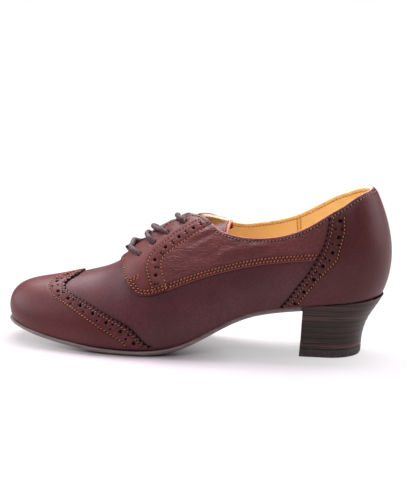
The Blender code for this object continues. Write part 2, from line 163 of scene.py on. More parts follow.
RIM_COLUMNS, INSOLE_COLUMNS, SOLE_COLUMNS, HEEL_COLUMNS = 260, 160, 240, 96
HEEL_ROWS, TOP_PIECE_ROWS = 110, 14
GRID_SHARP, PANEL_SHARP, ROUND_SHARP = 40, 48, 80

# Lace, tongue, insole, sole and heel
LACE_RADIUS = 1.6
LACE_SKEW = 0.02
LACE_UNDER, LACE_TUCKED = 0.2, -0.2
LACE_DIVE = 0.17
LACE_EVEN, LACE_LAST = 0.8, (0.88, 0.95, 1.0)
LACE_CLEAR, LACE_APART = 0.004, 0.3
LACE_BELOW = -0.8
LACE_BOWS = {LATERAL: 2, MEDIAL: 5}
BRAID_SIDES, BRAID_STRANDS, BRAID_LAY, BRAID_RELIEF = 20, 5, 4.2, 0.07
TONGUE = 1.7
TONGUE_LIFT = -2.3
TONGUE_RAW, TONGUE_STITCH_INSET, TONGUE_STITCHES = 0.6, 2.3, (0.06, 0.94, 26)
TONGUE_LAPS = (0.05, 0.48)
TONGUE_RISE = 0.72
TONGUE_SINK = 8.7
TONGUE_SINK_LAPS = (0.16, 0.41)
GAP = 0.3
INSOLE, INSOLE_INSET = 2.2, 2.2
SOLE_THICKNESS = 3.5
BREAST_X = 74.3
BREAST_GAP = 0.6
TOP_PIECE = 5.2
TOP_PIECE_DROP = 0.85
HEEL_BEND_SHARE = 0.62
HEEL_LIFT = 3.7

# Depth and width of the grooves between the lifts and of the top piece's lower and upper rounding
LIFT_GROOVE, TREAD_ROUND, SEAT_ROUND = (0.16, 0.22), (0.5, 0.6), (0.2, 0.3)

# Camera of the photograph, in degrees and millimetres, and its frame in pixels
IMAGE_SIZE = (407, 500)
CAMERA_AZIMUTH, CAMERA_ELEVATION, CAMERA_DISTANCE = 12.0, 11.5, 1150.0
CAMERA_TARGET = (0.0, 0.0, 50.0)
TARGET_PIXEL = (196.0, 269.0)
PIXEL_MM = 0.652
SENSOR = 36.0

# Studio in metres and watts: the floor's glow by distance from its middle, its tones, the
# surroundings, and the name, place, aim, size, power and colour of each soft light
FLOOR_RADIUS, FLOOR_SIDES = 4.0, 96
FLOOR_GLOW = ((0.03, 0.0), (0.07, 0.4), (0.13, 0.58), (0.2, 0.7), (0.6, 1.0))
FLOOR_PLACE = (-0.035, -0.05, -0.00005)
# The floor's pinkish tones are painted bounce light from the shoe, seen where the floor is shaded
FLOOR_TONES = ((0.58, 0.525, 0.56), (0.6, 0.545, 0.58))
WORLD_COLOUR, WORLD_STRENGTH = (0.95, 0.95, 1.0), 0.2
SOFTBOXES = (
    ("overhead", (0.0, 0.58, 1.2), (0.0, 0.0, 0.03), (1.8, 1.0), 52.5, (1.0, 0.98, 0.99)),
    ("left", (-1.25, 0.0, 0.55), (-0.05, 0.0, 0.04), (1.2, 0.9), 13.0, (1.0, 0.97, 1.0)),
    ("right", (1.25, 0.45, 0.55), (0.08, 0.0, 0.05), (1.2, 0.9), 9.0, (1.0, 0.98, 1.0)),
    ("front", (0.1, -1.1, 1.3), (0.05, 0.0, 0.08), (1.2, 0.6), 7.0, (1.0, 0.98, 0.98)),
)


class Table:
    """Rows under named columns, joined along the first column by a cubic spline."""

    def __init__(self, names, rows, flat_ends=False):
        values = np.array(rows, float).T
        self.knots = values[0]
        self.columns = dict(zip(names[1:], values[1:]))
        self.bends = {name: self.bend(ys, flat_ends) for name, ys in self.columns.items()}

    def bend(self, ys, flat_ends):
        """Second derivatives at the knots, with free or level ends."""
        step = np.diff(self.knots)
        slope = np.diff(ys) / step
        count = len(ys)
        matrix = np.eye(count)
        right = np.zeros(count)
        for i in range(1, count - 1):
            matrix[i, i - 1:i + 2] = step[i - 1], 2 * (step[i - 1] + step[i]), step[i]
            right[i] = 6 * (slope[i] - slope[i - 1])
        if flat_ends:
            matrix[0, :2] = 2 * step[0], step[0]
            matrix[-1, -2:] = step[-1], 2 * step[-1]
            right[0], right[-1] = 6 * slope[0], -6 * slope[-1]
        return np.linalg.solve(matrix, right)

    def at(self, name, where):
        ys, bend = self.columns[name], self.bends[name]
        where = np.asarray(where, float)
        i = np.clip(np.searchsorted(self.knots, where) - 1, 0, len(ys) - 2)
        step = self.knots[i + 1] - self.knots[i]
        t, u = where - self.knots[i], self.knots[i + 1] - where
        cubic = (bend[i] * u ** 3 + bend[i + 1] * t ** 3) / (6 * step)
        left = (ys[i] / step - bend[i] * step / 6) * u
        right = (ys[i + 1] / step - bend[i + 1] * step / 6) * t
        return cubic + left + right

    def beside(self, side, where):
        """Value of the lateral or the medial column."""
        return np.where(side < 0, self.at("lateral", where), self.at("medial", where))


# Stations of the last: half widths at the feather edge, sideways swing of the plan,
# height of the feather edge and of the ridge, sideways shift of the ridge
LAST = Table(("x", "lateral", "medial", "swing", "feather", "ridge", "crest"), (
    (-125, 36.0, 37.0, 4.7, 14.0, 42.5, 0.0),
    (-97, 36.5, 38.0, 3.2, 8.9, 41.2, 1.0),
    (-72, 38.5, 39.0, 1.7, 5.7, 45.6, 2.0),
    (-59, 39.7, 39.2, 0.9, 4.4, 49.5, 2.5),
    (-47, 40.4, 39.0, 0.3, 3.8, 56.5, 3.0),
    (-35, 40.8, 38.0, -0.1, 3.5, 66.0, 3.0),
    (-22, 40.2, 36.5, -0.3, 4.0, 75.0, 3.0),
    (-8, 38.5, 33.6, -0.3, 6.2, 82.0, 3.0),
    (9, 35.3, 30.2, -0.3, 13.4, 89.0, 3.0),
    (33, 29.5, 26.5, -0.3, 25.8, 97.5, 2.0),
    (63, 25.5, 24.5, -0.3, 32.4, 107.5, 1.0),
    (97, 23.6, 23.6, -0.3, 36.0, 117.5, 0.0),
    (123, 23.0, 23.0, -0.3, 39.0, 122.0, 0.0),
))

# Fullness of each cross-section and how far its wall swells beyond the feather edge
SECTION = Table(("lap", "lateral", "medial", "bulge"), (
    (-1.0, 4.2, 4.2, 0.025),
    (-0.5, 2.9, 2.9, 0.04),
    (0.0, 2.1, 2.2, 0.05),
    (0.35, 1.95, 2.05, 0.08),
    (0.7, 2.2, 2.3, 0.21),
    (1.0, 2.7, 2.7, 0.28),
    (2.0, 2.9, 2.9, 0.29),
), flat_ends=True)

# Rise of the throat and collar edge
TOPLINE = Table(("lap", "lateral", "medial"), (
    (0.09, 0.895, 0.895),
    (0.22, 0.915, 0.905),
    (0.34, 0.90, 0.865),
    (0.38, 0.82, 0.765),
    (0.44, 0.655, 0.64),
    (0.50, 0.555, 0.55),
    (0.57, 0.482, 0.50),
    (0.66, 0.428, 0.468),
    (0.78, 0.403, 0.462),
    (0.87, 0.418, 0.492),
    (0.96, 0.458, 0.522),
    (0.985, 0.469, 0.526),
    (1.0, 0.4745, 0.5275),
    (1.03, 0.4775, 0.5283),
    (1.2, 0.495, 0.53),
    (1.6, 0.528, 0.535),
    (2.0, 0.54, 0.54),
))

# Rear edge of the winged toe cap
CAP_EDGE = Table(("lap", "rise"), (
    (-1.0, 0.76),
    (-0.8, 0.75),
    (-0.66, 0.72),
    (-0.58, 0.665),
    (-0.50, 0.60),
    (-0.35, 0.51),
    (-0.146, 0.39),
    (0.025, 0.226),
    (0.123, 0.103),
    (0.185, 0.028),
), flat_ends=True)

# Lower edge of a quarter, from the front corner of its lacing flap
QUARTER_EDGE = Table(("lap", "rise"), (
    (-0.012, 0.87),
    (0.0, 0.785),
    (0.018, 0.689),
    (0.034, 0.581),
    (0.059, 0.478),
    (0.088, 0.402),
    (0.125, 0.347),
    (0.16, 0.328),
    (0.25, 0.328),
    (0.386, 0.325),
    (0.533, 0.292),
    (0.70, 0.264),
    (0.89, 0.24),
))

# Front edge of the heel counter, by its share of the way up to the collar
COUNTER_EDGE = Table(("share", "lap"), (
    (0.0, 0.742),
    (0.13, 0.781),
    (0.26, 0.815),
    (0.38, 0.853),
    (0.51, 0.891),
    (0.65, 0.926),
    (0.78, 0.943),
    (1.0, 0.951),
))

# The two stitch rows along a facing's rear edge, bottom to collar
FACING_ROWS = Table(("along", "front_lap", "front_rise", "rear_lap", "rear_rise"), (
    (0.0, 0.188, 0.340, 0.247, 0.338),
    (0.2, 0.156, 0.475, 0.220, 0.445),
    (0.38, 0.148, 0.550, 0.207, 0.530),
    (0.5, 0.159, 0.617, 0.216, 0.566),
    (0.65, 0.200, 0.675, 0.250, 0.600),
    (0.82, 0.265, 0.741, 0.320, 0.648),
    (1.0, 0.372, 0.800, 0.425, 0.690),
))

# Lace strands from the front: lap and rise of their eyelets, lap and height where they cross the ridge
LACE_BARS = (
    (0.100, 0.690, 0.040, 3.9),
    (0.161, 0.734, 0.118, 4.0),
    (0.219, 0.780, 0.148, 5.6),
    (0.292, 0.835, 0.252, 4.4),
)

# Width of the cap's punched border to the middle of its holes and to its inner stitch row
CAP_BAND = Table(("u", "middle", "inner"), (
    (0.0, 8.0, 13.5),
    (0.45, 8.0, 13.3),
    (0.54, 6.0, 10.5),
    (0.65, 4.6, 8.3),
    (0.84, 4.5, 9.0),
    (0.97, 4.7, 9.6),
    (1.07, 5.2, 10.4),
    (1.19, 5.2, 10.6),
), flat_ends=True)

# Width of the counter's punched border to the same two rows, by the share of the way up it
COUNTER_BAND = Table(("share", "middle", "inner"), (
    (0.0, 5.7, 7.4),
    (0.27, 5.6, 7.3),
    (0.45, 5.6, 7.8),
    (0.62, 6.4, 10.8),
    (0.77, 8.2, 13.2),
    (0.93, 7.0, 12.6),
    (1.0, 6.8, 12.2),
), flat_ends=True)

# How far a flap's throat edge stands up at the laces and between them
FLAP_EDGE = Table(("lap", "lateral", "medial"), (
    (-0.02, 0.4, 5.2),
    (0.015, 0.35, 3.8),
    (0.05, 0.3, 2.2),
    (0.09, 0.6, 0.4),
    (0.124, 0.7, -1.2),
    (0.15, 1.9, -1.5),
    (0.176, 0.9, -1.5),
    (0.222, 2.3, -1.5),
    (0.269, 1.0, -1.5),
    (0.31, 1.0, -1.4),
    (0.35, -0.3, -1.1),
    (0.45, 0.0, -1.0),
))

# Outline of the outsole against the feather edge
SOLE = Table(("lap", "spread"), (
    (-1.0, 1.035),
    (-0.5, 1.035),
    (0.0, 1.03),
    (0.2, 1.015),
    (0.35, 0.96),
    (0.55, 0.90),
    (0.9, 0.92),
), flat_ends=True)

# Section of the outsole: shares of the half width on its top and tread, and round its edge the
# millimetres outside it and the share of the thickness below its top
SOLE_TOP, SOLE_TREAD = (0.0, 0.25, 0.5, 0.75, 0.92), (0.75, 0.5, 0.25, 0.0)
SOLE_RIM = ((0.0, 0.0), (0.35, 0.1), (0.5, 0.3), (0.35, 0.5), (0.0, 0.62), (-0.9, 0.8), (-3.0, 1.0))

# Section of the insole: shares of the half width and heights above the feather edge
INSOLE_REACHES = (0, 0.15, 0.3, 0.45, 0.6, 0.75, 0.88, 0.96, 1.0, 1.0, 0.96, 0.75, 0.5, 0.25, 0.0)
INSOLE_LEVELS = (0.0,) * 8 + (0.5, 1.7) + (INSOLE,) * 5

# Heel block from its seat down to the top piece: breast, back and half width
HEEL = Table(("drop", "front", "back", "half"), (
    (0.0, 74.3, 122.5, 25.4),
    (0.12, 73.9, 119.6, 24.2),
    (0.25, 73.5, 116.0, 23.0),
    (0.4, 73.0, 112.5, 22.0),
    (0.55, 72.6, 110.3, 21.2),
    (0.7, 72.2, 109.0, 20.6),
    (0.85, 71.7, 108.4, 20.3),
    (1.0, 71.3, 108.0, 20.2),
))

# Soft folds of a quarter: both ends, width of the trough and depth, a ridge where it is negative
CREASES = (
    # lap, rise, end lap, end rise, width, depth
    (0.46, 0.428, 0.56, 0.408, 3.0, -0.55),
    (0.53, 0.416, 0.70, 0.366, 3.4, -0.5),
    (0.56, 0.442, 0.71, 0.398, 3.0, 0.45),
    (0.55, 0.412, 0.62, 0.445, 2.0, -0.35),
    (0.32, 0.645, 0.45, 0.64, 4.0, -0.55),
    (0.32, 0.59, 0.47, 0.60, 4.0, 0.4),
    (0.34, 0.555, 0.46, 0.575, 3.0, -0.3),
    (0.29, 0.50, 0.43, 0.47, 4.0, 0.35),
    (0.38, 0.43, 0.50, 0.46, 3.0, 0.3),
    (0.50, 0.36, 0.63, 0.345, 3.0, 0.3),
    (0.69, 0.342, 0.82, 0.375, 3.0, -0.3),
    (0.66, 0.335, 0.77, 0.355, 2.6, 0.3),
)

# Usual millimetres for each unit of lap and rise, and of lap where panels are cut
LAP_MM, RISE_MM, PANEL_LAP_MM = 144.0, 95.0, 115.2


def superellipse(angle, power):
    """Point on a rounded corner, seen from its centre at this angle."""
    across, up = np.abs(np.cos(angle)), np.abs(np.sin(angle))
    radius = (across ** power + up ** power) ** (-1 / power)
    return radius * across, radius * up


def footprint(lap, reach, side):
    """Plan point at this share of the way from the spine to the feather edge."""
    toe_along, toe_across = superellipse(np.clip(1 + lap, 0, 1) * RIGHT_ANGLE, TOE_ROUND)
    heel_along, heel_across = superellipse(np.clip(2 - lap, 0, 1) * RIGHT_ANGLE, HEEL_ROUND)
    spine = TOE_FAN_X + np.clip(lap, 0, 1) * (HEEL_FAN_X - TOE_FAN_X)
    toe = np.where(lap < 0, toe_along * (TOE_X - TOE_FAN_X), 0.0)
    heel = np.where(lap > 1, heel_along * (HEEL_X - HEEL_FAN_X), 0.0)
    across = np.where(lap < 0, toe_across, np.where(lap > 1, heel_across, 1.0))
    x = spine + (toe + heel) * reach
    width = LAST.beside(side, x)
    return x, LAST.at("swing", x) + side * width * across * reach


def skin(lap, rise, side):
    """Outer face of the vamp."""
    fullness = SECTION.beside(side, lap)
    reach, height = superellipse(rise * RIGHT_ANGLE, fullness)
    reach = reach + SECTION.at("bulge", lap) * BULGE_PEAK * height * (1 - height) ** 2
    x, y = footprint(lap, reach, side)
    feather = LAST.at("feather", x)
    z = feather + height * (LAST.at("ridge", x) - feather)
    return np.stack([x, y + LAST.at("crest", x) * height, z], axis=-1)


def outward(lap, rise, side):
    """Unit vector that points out of the last."""
    ahead, behind = np.minimum(lap + SLOPE_STEP, 2), np.maximum(lap - SLOPE_STEP, -1)
    above, below = np.minimum(rise + SLOPE_STEP, 1), np.maximum(rise - SLOPE_STEP, 0)
    along = skin(ahead, rise, side) - skin(behind, rise, side)
    up = skin(lap, above, side) - skin(lap, below, side)
    normal = np.cross(along, up) * -side[..., None]
    return normal / np.linalg.norm(normal, axis=-1, keepdims=True)


def lifted(lap, rise, side, lift):
    """Point this far outside the last."""
    values = (np.asarray(value, float) for value in (lap, rise, side, lift))
    lap, rise, side, lift = np.broadcast_arrays(*values)
    return skin(lap, rise, side) + lift[..., None] * outward(lap, rise, side)


def ease(value, first, last):
    """Smooth step from 0 at the first value to 1 at the last."""
    share = np.clip((value - first) / (last - first), 0, 1)
    return share ** 2 * (3 - 2 * share)


def fade(distance, width):
    """Share of 1 that falls away to both sides over this width."""
    return np.exp(-(distance / width) ** 2)


def nth(share, count):
    """Number of the row at this share of the way through so many rows."""
    return np.rint(share * (count - 1)).astype(int)


def topline(lap, side):
    """Rise of the upper's top edge, which is the ridge in front of the throat."""
    edge = TOPLINE.beside(side, lap)
    return np.where(lap > THROAT_LAP + SLOPE_STEP, edge, 1.0)


def collar(lap, side):
    """Rise of the flaps' and collar's edge, level in front of the throat."""
    return topline(np.maximum(lap, THROAT_LAP + 2 * SLOPE_STEP), side)


def fold_relief(lap, rise):
    """Height of the soft folds, as troughs with low ridges beside them."""
    point = np.stack([lap * LAP_MM, rise * RISE_MM], axis=-1)
    relief = np.zeros(lap.shape)
    for start_lap, start_rise, end_lap, end_rise, width, depth in CREASES:
        start = np.array((start_lap * LAP_MM, start_rise * RISE_MM))
        run = np.array((end_lap * LAP_MM, end_rise * RISE_MM)) - start
        length = np.hypot(*run)
        along = (point - start) @ run / length ** 2
        across = ((point - start) @ np.array((-run[1], run[0])) / length) / width
        taper = np.clip(along * (1 - along) * 4, 0, 1)
        relief -= depth * taper * (1 - across ** 2) * fade(across, 1)
    return relief


# Charts: the flat coordinate u of a panel becomes lap and side, and v is rise
def around_toe(u):
    return np.abs(u) - 1, np.where(u < 0, LATERAL, MEDIAL)


def around_heel(u):
    return 2 - np.abs(u), np.where(u < 0, LATERAL, MEDIAL)


def along_side(side):
    return lambda u: (u, np.full(np.shape(u), side))


def on_chart(chart, uv, lift=0.0):
    lap, side = chart(uv[:, 0])
    return lifted(lap, uv[:, 1], side, lift)


def local_scales(chart, uv):
    """Millimetres for each unit of u, of v across it, and of v along it."""
    def at(shift):
        u, rise = (uv + shift).T
        lap, side = chart(u)
        return skin(lap, rise, side)

    along, up = ((at(step) - at(-step)) / (2 * SLOPE_STEP) for step in np.eye(2) * SLOPE_STEP)
    length = np.linalg.norm(along, axis=1)
    lean = (up * along).sum(1) / length
    tall = np.sqrt(np.maximum((up * up).sum(1) - lean ** 2, TINY))
    return length, tall, lean


def moved(chart, uv, along, across):
    """Chart points moved over the surface by millimetres along u and across it."""
    length, tall, lean = local_scales(chart, uv)
    dv = across / tall
    return uv + np.stack([(along - dv * lean) / length, dv], axis=1)


def offset(chart, row, distance):
    """Row moved over the surface to the left of its run, in short steps."""
    steps = max(1, math.ceil(abs(distance) / OFFSET_STEP))
    for _ in range(steps):
        length, tall, lean = local_scales(chart, row)
        run = np.gradient(row, axis=0)
        along, across = run[:, 0] * length + run[:, 1] * lean, run[:, 1] * tall
        size = np.maximum(np.hypot(along, across), TINY)
        row = moved(chart, row, -across / size * distance / steps, along / size * distance / steps)
        row[1:-1] = 0.5 * row[1:-1] + 0.25 * (row[:-2] + row[2:])
    return row


def run_along(points):
    """Length along a row of points up to each of them."""
    return np.concatenate([[0], np.cumsum(np.linalg.norm(np.diff(points, axis=0), axis=1))])


def at_runs(row, run, at):
    """Points of a row at these lengths along it."""
    return np.stack([np.interp(at, run, row[:, i]) for i in (0, 1)], axis=1)


def spaced(chart, row, pitch, start=0.0, end=0.0):
    """Points along a row at this spacing, leaving these lengths free at its ends."""
    run = run_along(on_chart(chart, row))
    count = max(2, int(round((run[-1] - start - end) / pitch)) + 1)
    return at_runs(row, run, np.linspace(start, run[-1] - end, count))


def table_row(count, function, first, last):
    """Row of chart points from a function of one value."""
    values = np.linspace(first, last, count)
    return np.stack(function(values), axis=1)


def pinked(chart, row, inside):
    """Zigzag edge along a row, with its notches cut towards the inside."""
    tips = spaced(chart, row, PINK_PITCH / 2)
    notches = offset(chart, tips, inside * PINK_DEPTH)
    return np.where((np.arange(len(tips)) % 2 == 0)[:, None], tips, notches)


def hole(chart, centre, radius, count):
    """Ring of chart points round a punched hole."""
    turn = np.linspace(0, 2 * math.pi, count, endpoint=False)
    ring = np.repeat(centre[None], count, 0)
    steps = 4
    for _ in range(steps):
        ring = moved(chart, ring, radius * np.cos(turn) / steps, radius * np.sin(turn) / steps)
    return ring


def punched_band(chart, row, spread, pitch, start, end, beyond=False):
    """Large holes along a row with a pair of small ones between each two, and past the ends too."""
    large = spaced(chart, row, pitch, start, end)
    middle = (large[1:] + large[:-1]) / 2
    if beyond:
        middle = np.concatenate([large[:1] * 2 - middle[:1], middle, large[-1:] * 2 - middle[-1:]])
    rings = [hole(chart, centre, LARGE_HOLE, LARGE_SIDES) for centre in large]
    for shift in (-spread, spread):
        small = offset(chart, middle, shift)
        rings += [hole(chart, centre, SMALL_HOLE, SMALL_SIDES) for centre in small]
    return rings


def inside_outline(points, outline):
    """Which points lie inside a closed outline."""
    inside = np.zeros(len(points), bool)
    for (x0, y0), (x1, y1) in zip(outline, np.roll(outline, -1, axis=0)):
        crosses = (y0 > points[:, 1]) != (y1 > points[:, 1])
        with np.errstate(divide="ignore", invalid="ignore"):
            at = (x1 - x0) * (points[:, 1] - y0) / (y1 - y0) + x0
        inside ^= crosses & (points[:, 0] < at)
    return inside


def nearest(points, others):
    """Distance from each point to the nearest of the others, all flat or all in space."""
    points, others = (np.pad(row, ((0, 0), (0, 3 - row.shape[1]))) for row in (points, others))
    tree = kdtree.KDTree(len(others))
    for number, point in enumerate(others):
        tree.insert(point, number)
    tree.balance()
    return np.array([tree.find(point)[2] for point in points])


def link(thing):
    bpy.context.scene.collection.objects.link(thing)
    return thing


def add_mesh(name, vertices, faces, material):
    mesh = bpy.data.meshes.new(name)
    mesh.from_pydata(np.asarray(vertices).tolist(), [], faces)
    mesh.update()
    mesh.materials.append(material)
    return link(bpy.data.objects.new(name, mesh))


def reworked(piece, change):
    """Change a piece's mesh and turn its faces outwards."""
    mesh = bmesh.new()
    mesh.from_mesh(piece.data)
    change(mesh)
    bmesh.ops.recalc_face_normals(mesh, faces=mesh.faces)
    mesh.to_mesh(piece.data)
    mesh.free()
    return piece


def weld(mesh):
    bmesh.ops.remove_doubles(mesh, verts=mesh.verts, dist=WELD * MM)


def drop_loose(mesh):
    loose = [vertex for vertex in mesh.verts if not vertex.link_faces]
    bmesh.ops.delete(mesh, geom=loose, context="VERTS")


def fill_ends(mesh):
    bmesh.ops.holes_fill(mesh, edges=mesh.edges, sides=0)


def shade(piece, sharp):
    """Shade a piece smooth between edges sharper than this many degrees."""
    piece.data.shade_smooth()
    piece.data.set_sharp_from_angle(angle=math.radians(sharp))
    return piece


def mark(piece, name, values):
    """Keep how near each vertex is to a cut edge or a seam, for the colour there."""
    layer = piece.data.attributes.new(name, "FLOAT", "POINT")
    layer.data.foreach_set("value", np.asarray(values, np.float32))


def spaced_flat(ring, scale, pitch):
    """Points along a closed ring of chart points, close enough to keep others off it."""
    closed = np.concatenate([ring, ring[:1]]) * scale
    run = run_along(closed)
    return at_runs(closed, run, np.arange(0, run[-1], pitch))


def groove_points(chart, groove):
    """Points along a stitch row and on both banks of its groove."""
    row = spaced(chart, groove, GROOVE_PITCH)
    return [row, offset(chart, row, GROOVE_WIDTH), offset(chart, row, -GROOVE_WIDTH)]


def thin_out(points, gap):
    """Drop points that lie too near an earlier one."""
    cells, kept = {}, []
    for point in points:
        column, row = int(point[0] // gap), int(point[1] // gap)
        around = [(column + i, row + j) for i in (-1, 0, 1) for j in (-1, 0, 1)]
        near = [cells[key] for key in around if key in cells]
        if all((point[0] - q[0]) ** 2 + (point[1] - q[1]) ** 2 > gap ** 2 for q in near):
            cells[column, row] = point
            kept.append(point)
    return np.array(kept)


def panel_field(chart, outline, holes, grooves, scale, spacing):
    """Points inside a panel, clear of its edges, with more of them along its stitch grooves."""
    low, high = outline.min(0) * scale, outline.max(0) * scale
    columns = np.arange(low[0], high[0], spacing)
    rows = np.arange(low[1], high[1], spacing * FIELD_ROWS)
    field = np.array([(x + (j % 2) * spacing / 2, y) for j, y in enumerate(rows) for x in columns])
    extra = [row * scale for groove in grooves for row in groove_points(chart, groove)]
    field = np.concatenate([field] + extra)
    field = field[inside_outline(field, outline * scale)]
    rims = []
    for ring in holes:
        centre = (ring * scale).mean(0)
        reach = np.linalg.norm(ring * scale - centre, axis=1).max()
        field = field[np.linalg.norm(field - centre, axis=1) > reach + HOLE_CLEAR]
        rims.append(centre + (ring * scale - centre) * (1 + HOLE_RIM / reach))
    bounds = np.concatenate([spaced_flat(rim, scale, BOUND_PITCH) for rim in [outline] + list(holes)])
    field = thin_out(field[nearest(field, bounds) > FIELD_CLEAR], FIELD_GAP)
    return np.concatenate([field] + rims)


def cut_panel(name, chart, outline, holes, height, base, material, spacing=PANEL_PITCH, grooves=()):
    """Panel for a solid, cut to an outline between two heights, with holes and stitch grooves."""
    scale = np.array((PANEL_LAP_MM, RISE_MM))
    rims = [outline] + list(holes)
    owner = np.concatenate([np.full(len(rim), number) for number, rim in enumerate(rims)])
    starts = np.cumsum([0] + [len(rim) for rim in rims])
    edges = [(at + i, at + (i + 1) % len(rim))
             for at, rim in zip(starts, rims) for i in range(len(rim))]
    field = panel_field(chart, outline, holes, grooves, scale, spacing)
    flat = np.concatenate([np.concatenate(rims) * scale, field])
    made = delaunay_2d_cdt([Vector(p) for p in flat], edges, [], INSIDE_ONLY, CUT_SNAP)
    uv = np.array([tuple(p) for p in made[0]]) / scale
    ring_of = np.array([max([owner[i] for i in old if i < len(owner)], default=-1) for old in made[3]])
    triangles = [f for f in made[2] if ring_of[f[0]] < 1 or len({ring_of[i] for i in f}) > 1]
    piece = build_panel(f"{name}_panel", chart, uv, triangles, ring_of, height, base, material, grooves)
    dress(piece, "upper_leather", name)


def from_grooves(chart, uv, grooves):
    """Distance of these chart points from the nearest stitch groove."""
    beds = np.concatenate([spaced(chart, groove, BED_PITCH) for groove in grooves])
    return nearest(on_chart(chart, uv), on_chart(chart, beds))


def build_panel(name, chart, uv, triangles, ring_of, height, base, material, grooves):
    """Two faces of a panel with walls round its outline and holes."""
    lap, side = chart(uv[:, 0])
    lift = height(lap, uv[:, 1], side) - EDGE_DROP * (ring_of >= 0)
    seams = np.zeros(len(uv))
    if grooves:
        away = from_grooves(chart, uv, grooves)
        lift = lift - GROOVE_DEPTH * fade(away, GROOVE_WIDTH * GROOVE_FADE)
        seams = fade(away, SEAM_WIDTH)
    top = lifted(lap, uv[:, 1], side, lift)
    bottom = lifted(lap, uv[:, 1], side, np.minimum(base(lap, uv[:, 1], side), lift - SHEET_LEAST))
    count = len(uv)
    borders = {}
    for face in triangles:
        for a, b in zip(face, face[1:] + face[:1]):
            key = min(a, b), max(a, b)
            borders[key] = None if key in borders else (a, b)
    walls = [(b, a, a + count, b + count) for a, b in filter(None, borders.values())]
    under = [tuple(i + count for i in reversed(face)) for face in triangles]
    faces = list(triangles) + under + walls
    piece = add_mesh(name, np.concatenate([top, bottom]) * MM, faces, material)
    rim = (ring_of == 0).astype(float)
    mark(piece, "edge", np.concatenate([rim * TOP_EDGE_MARK, rim]))
    mark(piece, "seam", np.tile(seams, 2))
    return shade(reworked(piece, drop_loose), PANEL_SHARP)


def bent_grid(name, columns, rows, place, material, sharp=GRID_SHARP, marks=None):
    """Sheet or solid from a grid of (u, v) in 0 to 1, placed by a function in millimetres."""
    u, v = np.meshgrid(np.linspace(0, 1, columns + 1), np.linspace(0, 1, rows + 1), indexing="ij")
    points = place(u.ravel(), v.ravel()) * MM
    wide = rows + 1
    faces = [(i * wide + j, (i + 1) * wide + j, (i + 1) * wide + j + 1, i * wide + j + 1)
             for i in range(columns) for j in range(rows)]
    piece = add_mesh(name, points, faces, material)
    if marks:
        mark(piece, "edge", marks(u.ravel(), v.ravel()))
    return shade(reworked(piece, weld), sharp)


def dress(piece, slot, *nodes):
    """Let a piece ride on the shoe and hide the solids that it stands for; the slot is not used."""
    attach(piece, "root")
    if nodes:
        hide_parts(*nodes)


def make_sheet(name, grid, place, material, wall, slot, *nodes, **looks):
    """Dressed sheet from a grid of columns and rows, with its thickness on one side."""
    piece = bent_grid(name, *grid, place, material, **looks)
    solidify = piece.modifiers.new("thickness", "SOLIDIFY")
    solidify.thickness = wall * MM
    solidify.offset = -1.0
    dress(piece, slot, *nodes)


# Materials
COAT_ROUGHNESS = 0.3
# Tone factors of the darker spots, of the painted shade along the stitch grooves and of the darker
# thread
SPOT_SHADE, SEAM_SHADE, THREAD_SHADE = 0.72, 0.6, 0.78
SHADE_SPREAD = 6

# Numbers of a colour mix's sockets
MIX_FACTOR, MIX_BASE, MIX_COLOUR, MIX_RESULT = 0, 6, 7, 2


def add_node(tree, kind, links=None, settings=None, **values):
    """Node with these settings, input values and links from other sockets."""
    node = tree.nodes.new(kind)
    for key, value in (settings or {}).items():
        setattr(node, key, value)
    for key, value in values.items():
        node.inputs[key.replace("_", " ")].default_value = value
    for key, source in (links or {}).items():
        tree.links.new(source, node.inputs[key])
    return node


class Finish:
    """A Principled material with a short way to add and join nodes."""

    def __init__(self, name, roughness, specular, coat=0.0):
        self.material = bpy.data.materials.new(name)
        self.material.use_nodes = True
        self.tree = self.material.node_tree
        self.shader = self.tree.nodes["Principled BSDF"]
        values = {"Roughness": roughness, "Coat Weight": coat, "Coat Roughness": COAT_ROUGHNESS,
                  "Specular IOR Level": specular}
        for key, value in values.items():
            self.shader.inputs[key].default_value = value
        self.place = self.add("ShaderNodeTexCoord").outputs["Object"]
        self.bump_end = None

    def add(self, *what, **values):
        return add_node(self.tree, *what, **values)

    def scaled(self, scale, lean=0):
        """Coordinates stretched by these scales, in units per metre, then turned by degrees round Y."""
        turn = (0, math.radians(lean), 0)
        node = self.add("ShaderNodeMapping", {"Vector": self.place}, Scale=scale, Rotation=turn)
        return node.outputs["Vector"]

    def noise(self, scale, detail=2.0, vector=None):
        links = {"Vector": vector or self.place}
        return self.add("ShaderNodeTexNoise", links, Scale=scale, Detail=detail).outputs["Fac"]

    def ramp(self, factor, *stops):
        """Colour ramp from (position, linear colour) pairs."""
        node = self.add("ShaderNodeValToRGB", {"Fac": factor})
        elements = node.color_ramp.elements
        for _ in stops[2:]:
            elements.new(0.5)
        for element, (position, colour) in zip(elements, stops):
            element.position = position
            element.color = (*colour, 1.0)
        return node.outputs["Color"]

    def mixed(self, factor, base, colour):
        """Base turned towards a colour by a factor."""
        node = self.add("ShaderNodeMix", {MIX_FACTOR: factor, MIX_BASE: base}, {"data_type": "RGBA"})
        node.inputs[MIX_COLOUR].default_value = (*colour, 1.0)
        return node.outputs[MIX_RESULT]

    def bump(self, height, strength, depth):
        """Add a layer of bump this deep in millimetres."""
        links = {"Height": height}
        if self.bump_end:
            links["Normal"] = self.bump_end
        node = self.add("ShaderNodeBump", links, Strength=strength, Distance=depth * MM)
        self.bump_end = node.outputs["Normal"]
        self.tree.links.new(self.bump_end, self.shader.inputs["Normal"])

    def colour(self, socket):
        self.tree.links.new(socket, self.shader.inputs["Base Color"])

    def mark(self, name):
        """How near a point is to a cut edge or a seam."""
        return self.add("ShaderNodeAttribute", None, {"attribute_name": name}).outputs["Fac"]

    def rough(self, factor, low, high):
        node = self.add("ShaderNodeMapRange", {"Value": factor}, To_Min=low, To_Max=high)
        self.tree.links.new(node.outputs["Result"], self.shader.inputs["Roughness"])


